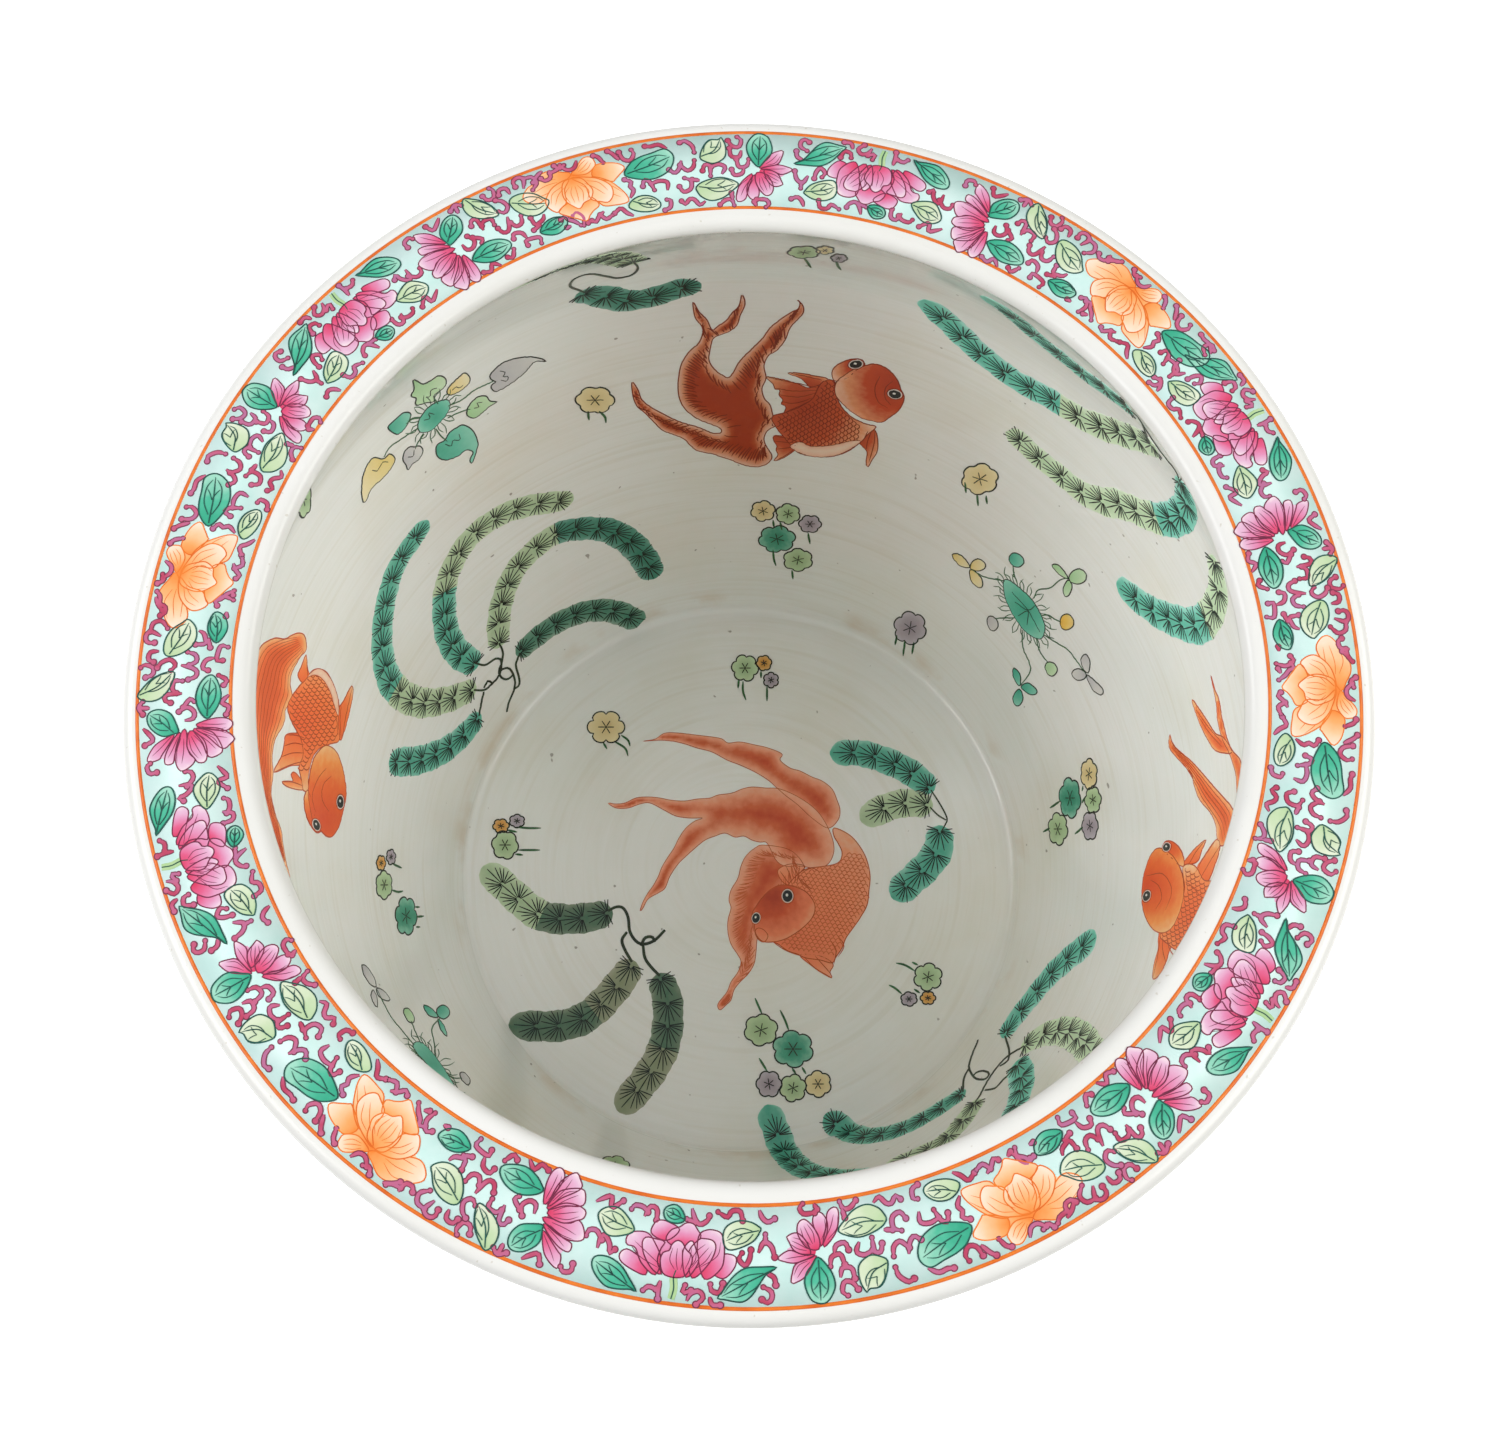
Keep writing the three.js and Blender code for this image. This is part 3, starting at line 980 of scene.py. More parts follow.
TEAL_LEAVES = (
    (
        (20, 3.5), (23, 8), (27, 10), (32, 11), (37, 12), (39.8, 9), (39.3, 5), (36.5, 1.5), (31, -0.5),
        (25, 0.5),
    ),
    ((72.5, 1.5), (69, 6), (68, 11), (70, 15), (72.5, 16.5), (76, 15), (77.7, 10), (77, 6.5), (75, 4)),
    (
        (86.5, 3.8), (90, 6), (92.5, 9.5), (95, 13), (98, 14.8), (103, 14.2), (105.5, 13.8), (104, 11.5),
        (101, 7), (97, 4), (91, 3.5),
    ),
    (
        (131, 14.8), (133, 14.5), (137, 15.2), (141, 15), (145, 12), (146.8, 9), (146, 6.5), (142, 5.8),
        (137.5, 7.5), (134, 11),
    ),
    ((118.5, -10.5), (121, -9), (125, -9.5), (126.5, -12), (125.5, -14), (122.5, -15), (120, -13.5)),
    (
        (165.5, 3.5), (165, 8), (168, 12), (171.5, 13.5), (174, 12.5), (174.8, 9), (173, 5), (169, 3),
        (166, 2.2),
    ),
    (
        (170, -8), (173, -5.5), (178, -4), (183, -5), (186.5, -7.5), (187, -10), (184, -12), (179, -13.2),
        (174.5, -12), (171.5, -10),
    ),
    ((200, -10), (203, -7), (207, -6), (211, -7), (212.5, -8.5), (211, -11.5), (207, -13.3), (203, -12.5)),
)

PALE_LEAVES = (
    ((20, -8.5), (24, -7), (28.5, -8), (31.5, -11), (31, -13.5), (27, -14.5), (22, -13.5), (18.5, -11)),
    ((50, 6.5), (51.5, 11), (54, 14), (57.5, 14), (58.5, 15), (60, 11), (59.5, 6), (55.5, 3.5), (52, 4.5)),
    (
        (47.3, -6.5), (50, -4.5), (56, -3), (60, -3.5), (64.5, -6), (62, -9), (58, -12), (53, -13),
        (49, -11), (47.3, -8),
    ),
    (
        (91.5, -8.5), (94, -5), (99, -2.5), (103, -2), (104.7, -5), (104, -9), (100, -11.3), (95, -11),
        (91.5, -9),
    ),
    ((135.5, -4.5), (139, -2), (144, -1), (147.5, -4), (149, -7), (147, -9.5), (143, -10.5), (139, -8.5)),
    (
        (179.8, 17), (178, 13.5), (178.5, 9.5), (181, 6.5), (185, 4.5), (188.5, 4.3), (188, 8), (186, 12),
        (183, 15),
    ),
    (
        (194.2, 7), (196, 8.8), (200, 8.8), (204, 7), (207, 3.5), (208.5, 1.5), (206, -1.5), (202, -2.5),
        (198, -1), (195, 3),
    ),
)

SCROLLS = (
    ((-14, 11.5), (-12, 13.5), (-9.3, 15)), ((-4.5, 15.5), (-3, 13.5), (-1, 14.5)),
    ((-2.3, 14), (0, 11.8), (2.5, 12.2), (4, 15)), ((10.5, 15), (12, 14), (13.3, 11)),
    ((16, 15.5), (17.5, 14), (19.5, 10.5)), ((20, 14), (21, 10.5), (23.5, 9.5), (25.3, 12), (24.7, 14)),
    ((30, 14.5), (32, 14), (35, 14.3), (38, 12)), ((43, 14), (45, 14.5), (47.5, 12), (48, 9)),
    ((37.5, 2.5), (39.5, 0.8), (41.5, 2.5), (42.7, 6)), ((42, 4), (44.5, 1.2), (47, 2.5), (47.7, 5.5)),
    ((19.5, 1.5), (21.8, 0), (21, -2), (22, -4), (20, -7)),
    ((26, -3), (27, -0.5), (29, -1.5), (30.3, -5.5)), ((29.5, -2.5), (33, -1.8), (36, -3), (35.5, -6.5)),
    ((40.5, -5.5), (42, -8), (45, -7), (45.5, -3.5), (43, -2)), ((46, -3), (49, -3.7)),
    ((-10, -8), (-8, -7.2), (-7, -9), (-5, -10.5), (-3, -13)),
    ((2, -12.5), (3.5, -13.5), (5.5, -11.5), (8, -10)), ((6, -11), (8, -13.5), (11, -12.5)),
    ((12, -12), (15, -10.5), (17, -13), (19.5, -15)), ((33, -15), (35.5, -14), (36, -11), (34.5, -10.5)),
    ((40.5, -12), (42, -13.5), (44, -11.5), (46, -12), (48, -14.5), (50.5, -13)),
    ((50.5, 0.5), (51.5, 3), (53.5, 2.5), (53.5, -2)), ((54, 2), (57, 3), (59.5, 1.5), (58, -1.5)),
    ((61, 13.5), (62.5, 11), (65, 10.5), (66, 13.5), (64.5, 15)), ((61.5, 10), (62, 6.5), (65, 6), (66, 9)),
    ((64, 5), (65, 1.5), (68, 2), (68.8, 5)), ((62, 0.5), (63, -2), (66, -1.5), (67, 1)),
    ((56.5, -15), (59, -13), (61.5, -13), (62.5, -15.5)), ((61.5, -10), (62, -13)),
    ((72, -13), (76, -13), (77.3, -15), (76, -16.3)), ((71, -14), (72, -16)),
    ((91.5, 14), (90, 15), (88.5, 14), (88.5, 11.5), (91, 10)), ((87, 9.5), (87.5, 7), (90, 5.5)),
    ((95, -2), (95.5, 1), (97, 3), (99, 1), (98, -1)), ((87, 0.5), (88, -3), (90.5, -4.5), (92.5, -1)),
    ((90, -4.5), (90, -7)), ((86.5, -12), (89, -11), (91, -12.5), (92, -15)),
    ((98, -11.5), (99, -14.5), (102, -14.5), (103.5, -12.5), (107, -14)),
    ((104.5, 16), (107, 16), (108, 13.5)), ((104, 9), (105, 12), (107.5, 11.5), (108, 9.5)),
    ((112, 16.3), (110, 14), (111.5, 12), (114, 13), (115, 15.5)), ((114, 12), (116.5, 13), (116, 10.5)),
    ((124, 16), (124.3, 13), (124, 10)), ((125, 13), (127.5, 12.5), (129, 14)),
    ((140.5, 3), (142, 4.5), (142.5, 2), (144.5, -0.5), (146, 0), (146.3, 4)),
    ((145.5, 1), (148, -1.5), (150.5, -1), (151, 1)),
    ((110, -12.5), (110.5, -11), (113, -9.5), (115, -11), (116.5, -14.5)), ((115, -10), (118, -10.8)),
    ((128.5, -9), (129, -12.5), (131.5, -13), (133, -9.5)),
    ((132, -11), (134, -12.5), (137, -12.5), (138, -11)),
    ((141.5, -13), (145, -10), (146, -13.5), (149, -12), (151, -10.5)),
    ((152.5, 11), (152.5, 13.5), (155, 14.3), (156, 13)),
    ((162.5, 14.5), (164, 11.5), (166.5, 13), (168.5, 15)), ((173.5, 15), (176, 16.5), (178, 15)),
    ((175.8, 16), (175.5, 12.5)), ((186.5, 14.5), (187.5, 12), (190, 12), (191, 15), (190, 16.5)),
    ((192, 12), (193, 14), (195.5, 13.5), (196, 10.5)),
    ((190, 10.5), (192, 9), (193, 6), (191, 4), (189, 5.5)),
    ((199, 12.5), (199, 15), (201, 16), (203, 14.5), (201.5, 10.5)),
    ((203, 14.5), (206, 14), (207, 11), (204.5, 8.5)), ((209, 12), (210, 10.5), (212.5, 11), (213, 14.5)),
    ((213, 13), (216, 13.5), (217.5, 15)), ((177, 5), (178, 7), (180, 6.5), (180.3, 1)),
    ((180.5, 3), (182, 4.5), (185, 4), (185, 1)),
    ((173.5, 2), (175, -1), (173, -3.5), (170.5, -3), (170, 0)), ((175, 0.5), (178, -2), (177, -3.5)),
    ((185.5, -1), (186.5, -3.5), (188.5, -4), (190, -2), (191, 2)),
    ((191, -1), (192.5, -3.5), (195, -3), (196, 0)), ((189, -8), (190, -6), (193, -7), (194, -10)),
    ((193, -13), (193, -11), (196, -11), (199, -12), (198.5, -14.5)),
    ((199, -2.5), (199.5, -6), (201, -6), (203.5, -5), (204.5, -3)), ((198, -8), (201, -7)),
    ((171, -15), (174, -16), (176, -13.5), (179, -16)), ((183, -14), (185, -15), (187, -12)),
    ((211, -12), (213, -12)), ((215, -8), (217, -7), (219, -10), (218, -13.5)), ((220, -13), (222, -12)),
)

PEONY_STEM = ((120, 15.5), (119.5, 12), (120, 8.5), (119.5, 6))


def sector_points(points, is_short):
    """A shape's points in this sector, or None where the short last sector leaves the shape out."""
    middle = sum(p[0] for p in points) / len(points)
    if not is_short or middle < SHORT_FROM:
        return points
    if middle < SHORT_TO:
        return None
    return [(u - SHORT_SHIFT, v) for u, v in points]


def flower_ground(petals):
    """A shape that lies behind a flower's petals, drawn in from their tips."""
    points = np.vstack([smooth_path(petal, True, 1.0) for petal in petals])
    middle = points.mean(0)
    away = points - middle
    bearing = np.arctan2(away[:, 1], away[:, 0])
    reach = np.linalg.norm(away, axis=1)
    shape = []
    for angle in np.linspace(-math.pi, math.pi, GROUND_BEARINGS, endpoint=False):
        apart = np.abs((bearing - angle + math.pi) % (2 * math.pi) - math.pi)
        near = reach[apart < GROUND_SPREAD]
        far = GROUND_SHARE * near.max() if len(near) else 1.0
        shape.append(middle + far * np.array([math.cos(angle), math.sin(angle)]))
    return np.array(shape)


def paint_petal_veins(line, place, base, petal, level):
    """Fine ribs from the flower's heart towards the petal's tip."""
    base = np.array(base, float)
    ring = smooth_path(petal, True, 1.5)
    middle = ring.mean(0)
    far = ring[np.argmax(np.linalg.norm(ring - base, axis=1))]
    for share in RIB_SHARES:
        tip = middle + (far - middle) * RIB_END
        side = np.array([-(far - middle)[1], (far - middle)[0]]) * share
        start = middle + (base - middle) * RIB_START + side * 0.5
        rib = np.array([start, middle + side * 1.1, tip + side * 0.8])
        if inside(rib, ring).all():
            line.strip(place, rib, RIB_WIDTH, level - RIB_DROP, ends=(0.5, 0.2))


def paint_leaf(paint, line, place, leaf, depth):
    """A leaf with its midrib and veins on each side that follow the edge."""
    ring = smooth_path(leaf, True, 1.2)
    base = np.array(leaf[0], float)
    tip = ring[np.argmax(np.linalg.norm(ring - base, axis=1))]
    middle = ring.mean(0)
    axis = tip - base
    across = np.array([-axis[1], axis[0]]) / np.linalg.norm(axis)
    level = 0.0 - depth * 0.01
    paint.fill(place, leaf, -2 - depth, leaf[0])
    line.outline(place, leaf, LEAF_LINE, level)
    midrib = (base + axis * MIDRIB[0], middle, base + axis * MIDRIB[1])
    line.strip(place, midrib, MIDRIB_WIDTH, level + 0.01, ends=(0.9, 0.3))
    for side in (-1, 1):
        bow = across * side * max(((ring - middle) @ across) * side)
        for shares, width, rise, ends in LEAF_VEINS:
            path = [base + axis * along + bow * out for along, out in shares]
            line.strip(place, path, width, level + rise, ends=ends)


def paint_flower(paint, line, place, flower, is_short):
    """A ground behind the flower, then its petals with outlines and ribs, each a level higher."""
    base, petals = flower
    heart = sector_points((base,), is_short)
    if heart:
        shift = heart[0][0] - base[0]
        paint.fill(place, flower_ground(petals) + np.array([shift, 0.0]), -1, heart[0], is_smooth=True)
    for order, petal in enumerate(petals):
        shape = sector_points((base,) + petal, is_short)
        if shape is None:
            continue
        centre, outline = shape[0], shape[1:]
        level = FILL_STEP * order - FILL_STEP * LINE_DROP
        paint.fill(place, outline, order, centre)
        line.outline(place, outline, PETAL_LINE, level)
        paint_petal_veins(line, place, centre, outline, level)


def paint_scroll(edge, core, place, path, order, drop):
    """A crimson scroll with a darker edge, and a round blob at one or both of its ends."""
    edge.strip(place, path, SCROLL_WIDTH, SCROLL_EDGE_LEVEL - drop, ends=(0.7, 0.45))
    core.strip(place, path, SCROLL_WIDTH - SCROLL_MARGIN, SCROLL_CORE_LEVEL - drop, ends=(0.65, 0.3))
    for end, (u, v) in enumerate((path[0], path[-1])[:1 + order % 2]):
        low = drop + SCROLL_DROP * end
        blob = BLOB_RADIUS - BLOB_LESSENING * end
        ring = ellipse(u, v, blob, blob, 0, 14)
        edge.fill(place, ring, (BLOB_EDGE_LEVEL - low) / FILL_STEP, is_smooth=True)
        blob -= BLOB_MARGIN
        ring = ellipse(u, v, blob, blob, 0, 12)
        core.fill(place, ring, (BLOB_CORE_LEVEL - low) / FILL_STEP, is_smooth=True)


def paint_rim():
    """The peony and lotus scroll of the rim border."""
    orange = Paint("rim_orange_peonies", toned("orange_petals", ORANGE_STOPS))
    pink = Paint("rim_pink_flowers", toned("pink_petals", PINK_STOPS))
    teal = Paint("rim_teal_leaves", toned("teal_leaf", TEAL_STOPS, 0.28, 0.25))
    pale = Paint("rim_pale_leaves", toned("pale_leaf", PALE_STOPS, 0.28, 0.25))
    scroll_edge = Paint("rim_scroll_edges", line_enamel("plum_enamel", "#843A54", "#6C2A44"))
    scroll_core = Paint("rim_scroll_cores", plain_enamel("crimson_enamel", CORE_STOPS, 0.3, 90.0))
    red_line = Paint("rim_orange_outlines", IRON_RED, "iron_red_enamel")
    dark_line = Paint("rim_pink_outlines", line_enamel("wine_line", "#7C2A4A", "#64203C"))
    vein = Paint("rim_leaf_outlines", line_enamel("dark_green_line", "#1F5A50", "#16423C"))
    stem = Paint("rim_peony_stems", line_enamel("stem_green", "#BFD9A4", "#A5CC92"))
    for number, clock in enumerate(PEONY_CLOCKS):
        place = on_rim(clock)
        is_short = number == SHORT_SECTOR
        paint_flower(orange, red_line, place, ORANGE_PEONY, is_short)
        for flower in (PINK_PEONY, DIAGONAL_LOTUS, HALF_LOTUS):
            paint_flower(pink, dark_line, place, flower, is_short)
        for leaves, paint, start in ((TEAL_LEAVES, teal, 0.1), (PALE_LEAVES, pale, 0.0)):
            for order, leaf in enumerate(leaves):
                shape = sector_points(leaf, is_short)
                if shape is not None:
                    paint_leaf(paint, vein, place, shape, order * 0.2 + start)
        for order, scroll in enumerate(SCROLLS):
            shape = sector_points(scroll, is_short)
            if shape is not None:
                drop = SCROLL_DROP * (order % SCROLL_CYCLE) + SECTOR_DROP * (number % 2)
                paint_scroll(scroll_edge, scroll_core, place, shape, order, drop)
        shape = sector_points(PEONY_STEM, is_short)
        if shape is not None:
            stem.strip(place, shape, *STEM_LINE, ends=(0.9, 0.9))
            vein.strip(place, shape, *STEM_VEIN, ends=(0.9, 0.9))
    for paint in (orange, pink, teal, pale, scroll_edge, scroll_core, red_line, dark_line, vein, stem):
        paint.build()


# Motifs inside the bowl, placed by pixels of the photograph

# Each arm of weed: path from base to tip, the share where its second colour starts, colours, width in mm
WEED_ARMS = (
    (
        (
            (472, 690), (450, 699), (425, 703), (405, 697), (391, 683), (385, 668), (382, 645), (383, 620),
            (388, 592), (396, 568), (408, 548), (424, 526),
        ),
        0.42, "pale", "teal", 17.5,
    ),
    (
        (
            (474, 664), (457, 652), (447, 632), (444, 608), (446, 584), (453, 565), (466, 543), (484, 526),
            (508, 512), (534, 505), (566, 501),
        ),
        0.43, "teal", "pale", 17.5,
    ),
    (
        (
            (499, 643), (499, 618), (505, 592), (517, 568), (535, 549), (556, 534), (580, 529), (606, 530),
            (628, 541), (643, 557), (652, 573),
        ),
        0.5, "pale", "deep", 17.5,
    ),
    (((520, 652), (540, 635), (563, 620), (590, 611), (615, 612), (637, 621)), 1.0, "dull", "dull", 16.8),
    (((478, 718), (464, 735), (445, 750), (420, 760), (396, 762)), 1.0, "teal", "teal", 16.8),
    (
        (
            (1150, 444), (1135, 438), (1115, 431), (1090, 423), (1065, 408), (1045, 396), (1020, 383),
            (995, 365), (972, 346), (952, 326), (930, 305),
        ),
        0.45, "fresh", "bright", 18.2,
    ),
    (
        ((1128, 408), (1110, 393), (1085, 375), (1060, 355), (1035, 335), (1012, 315), (990, 300)), 1.0,
        "bright", "bright", 18.2,
    ),
    (
        (
            (1178, 480), (1186, 495), (1184, 512), (1168, 520), (1148, 516), (1122, 505), (1100, 501),
            (1080, 491), (1060, 475), (1035, 455), (1012, 432),
        ),
        0.36, "bright", "fresh", 18.2,
    ),
    (
        (
            (1214, 560), (1218, 580), (1217, 600), (1208, 618), (1195, 626), (1178, 622), (1158, 614),
            (1140, 602), (1122, 588),
        ),
        0.36, "fresh", "bright", 18.2,
    ),
    (
        ((608, 913), (590, 917), (570, 919), (546, 917), (530, 909), (515, 896), (500, 882), (488, 872)),
        0.5, "olive", "pale", 17.7,
    ),
    (
        (
            (632, 965), (622, 980), (608, 997), (594, 1011), (578, 1021), (558, 1026), (535, 1026),
            (515, 1026),
        ),
        0.45, "moss", "olive", 17.7,
    ),
    (
        (
            (660, 978), (667, 998), (668, 1020), (665, 1042), (657, 1062), (645, 1080), (631, 1097),
            (622, 1107),
        ),
        0.52, "olive", "moss", 17.7,
    ),
    (((930, 788), (910, 772), (885, 760), (860, 753), (836, 753)), 1.0, "teal", "teal", 16.1),
    (((928, 805), (905, 803), (885, 808), (866, 818)), 1.0, "pale", "pale", 16.8),
    (((940, 830), (938, 850), (927, 866), (911, 881), (898, 893)), 1.0, "teal", "teal", 17.7),
    (
        ((1005, 1034), (1015, 1019), (1030, 1000), (1048, 978), (1068, 959), (1091, 941)), 1.0, "bright",
        "bright", 18.2,
    ),
    (
        ((1025, 1045), (1040, 1036), (1060, 1031), (1077, 1036), (1090, 1050), (1098, 1070)), 1.0, "fresh",
        "fresh", 17.7,
    ),
    (((1018, 1066), (1022, 1080), (1020, 1096), (1012, 1114), (1004, 1130)), 1.0, "bright", "bright", 17.7),
    (
        ((975, 1103), (965, 1118), (955, 1130), (940, 1143), (915, 1155), (890, 1165)), 1.0, "pale", "pale",
        16.8,
    ),
    (
        ((962, 1093), (945, 1105), (920, 1120), (895, 1131), (865, 1136), (843, 1129), (830, 1119)), 1.0,
        "teal", "teal", 16.1,
    ),
    (
        ((868, 1174), (838, 1176), (805, 1170), (785, 1152), (776, 1130), (768, 1110)), 1.0, "teal", "teal",
        16.1,
    ),
    (((582, 294), (600, 295), (625, 301), (650, 298), (675, 290), (694, 285)), 1.0, "deep", "deep", 17.7),
    (((632, 262), (610, 257), (585, 261), (560, 269), (540, 277), (520, 286)), 1.0, "pale", "pale", 16.8),
)

# Weed stems: width in mm, then their paths
WEED_STEMS = (
    (
        1.35,
        (
            (
                (475, 663), (485, 665), (495, 659), (501, 660), (501, 670), (498, 677), (492, 684),
                (484, 690), (474, 690),
            ),
            ((499, 643), (503, 652), (502, 662), (499, 672), (502, 678), (508, 679), (514, 674)),
            ((499, 673), (503, 669), (510, 669), (515, 680), (514, 690), (509, 702), (507, 712)),
            ((520, 653), (516, 665), (519, 677), (519, 685), (514, 689)),
            ((484, 692), (482, 700), (479, 716)), ((492, 683), (488, 681), (484, 688)),
        ),
    ),
    (
        0.85,
        (
            ((1128, 408), (1140, 420), (1150, 444)), ((1140, 420), (1158, 448), (1175, 470), (1180, 482)),
            ((931, 790), (940, 804), (947, 818), (945, 825), (941, 832)),
            ((930, 807), (938, 815), (946, 820)),
        ),
    ),
    (
        1.75,
        (
            (
                (608, 911), (616, 907), (623, 908), (628, 917), (630, 932), (637, 942), (645, 944),
                (655, 940), (665, 930),
            ),
            ((627, 932), (622, 940), (625, 950), (632, 962)),
            ((643, 945), (645, 958), (652, 968), (660, 976)),
            ((641, 946), (645, 938), (652, 937), (655, 942)),
        ),
    ),
    (
        1.25,
        (
            (
                (978, 1040), (972, 1055), (969, 1067), (975, 1078), (985, 1079), (989, 1073), (980, 1071),
                (972, 1076),
            ),
            ((1005, 1036), (1009, 1050), (1008, 1060), (1000, 1066)),
            ((1024, 1046), (1008, 1056), (998, 1066), (988, 1080), (980, 1095), (975, 1103)),
            ((969, 1068), (964, 1078), (963, 1092)), ((1018, 1066), (1005, 1078), (995, 1088), (985, 1090)),
            (
                (634, 262), (638, 268), (632, 275), (618, 278), (605, 276), (590, 274), (576, 278),
                (570, 286), (584, 292),
            ),
        ),
    ),
)

# Duckweed: middle, half sizes, colour
DUCKWEED = (
    (606, 727, 18, 16, "yellow"), (980, 479, 18, 15, "yellow"), (910, 628, 16, 16, "lilac"),
    (595, 400, 19, 13, "yellow"), (763, 511, 12, 10, "yellow"), (788, 514, 12, 10, "green"),
    (810, 524, 11, 8.5, "lilac"), (777, 539, 18, 13, "teal"), (798, 560, 14.5, 11, "green"),
    (745, 668, 13, 13, "green"), (764, 663, 7.5, 7.5, "orange"), (771, 680, 7.5, 7.5, "lilac"),
    (505, 845, 13, 14, "green"), (501, 826, 8, 7, "orange"), (517, 821, 7.5, 6.5, "lilac"),
    (1070, 798, 10.5, 20, "teal"), (1093, 800, 8, 13, "green"), (1089, 774, 8, 15, "yellow"),
    (1058, 829, 9.5, 16, "green"), (1090, 826, 8, 14, "lilac"), (928, 977, 14, 13.5, "green"),
    (909, 999, 8, 7, "lilac"), (928, 998, 7.5, 6.5, "orange"), (761, 1030, 16.5, 15.5, "green"),
    (793, 1049, 20, 18, "teal"), (769, 1084, 12.5, 13, "lilac"), (793, 1088, 13, 13.5, "green"),
    (818, 1084, 13, 13, "yellow"), (381, 863, 4.5, 7.5, "orange"), (391, 857, 4.5, 7.5, "lilac"),
    (384, 885, 8, 14, "green"), (406, 916, 10.5, 19, "teal"), (804, 252, 16, 6, "green"),
    (825, 250, 9, 4, "yellow"), (839, 258, 8, 4, "lilac"), (614, 1166, 15, 10, "green"),
    (303, 499, 8, 18, "green"),
)

ROOTLETS = (
    ((621, 735), (628, 740), (630, 746)), ((614, 741), (625, 748), (628, 756)), ((603, 742), (607, 749)),
    ((965, 482), (966, 493)), ((977, 494), (978, 506)), ((986, 496), (987, 504)), ((905, 640), (903, 656)),
    ((914, 642), (912, 654)), ((897, 635), (895, 645)), ((588, 411), (589, 420)),
    ((599, 411), (605, 417), (606, 423)), ((773, 520), (774, 528)), ((780, 522), (782, 530)),
    ((808, 533), (810, 544)), ((773, 550), (774, 560), (776, 566)), ((792, 570), (793, 579)),
    ((739, 679), (738, 688)), ((743, 681), (743, 691), (746, 700)), ((761, 671), (761, 678)),
    ((767, 686), (767, 701)), ((518, 850), (530, 850), (540, 850)), ((515, 854), (523, 855)),
    ((516, 827), (528, 828), (541, 828)), ((507, 830), (517, 832)), ((1060, 801), (1050, 808)),
    ((1082, 803), (1085, 797)), ((1050, 828), (1043, 832)), ((1083, 827), (1075, 834)),
    ((1083, 786), (1082, 791)), ((915, 971), (905, 965), (896, 963)), ((918, 965), (912, 962)),
    ((902, 994), (895, 988), (889, 985)), ((920, 993), (914, 989)), ((762, 1014), (758, 1005), (755, 998)),
    ((789, 1031), (785, 1020), (780, 1010)), ((767, 1071), (764, 1066), (759, 1058)),
    ((796, 1074), (792, 1068)), ((806, 1074), (802, 1067)), ((393, 864), (402, 868)),
    ((392, 890), (398, 892), (403, 891)), ((415, 907), (420, 907)), ((416, 917), (424, 916)),
    ((416, 927), (420, 927)), ((804, 258), (808, 263), (811, 268)), ((836, 261), (838, 266), (841, 270)),
)

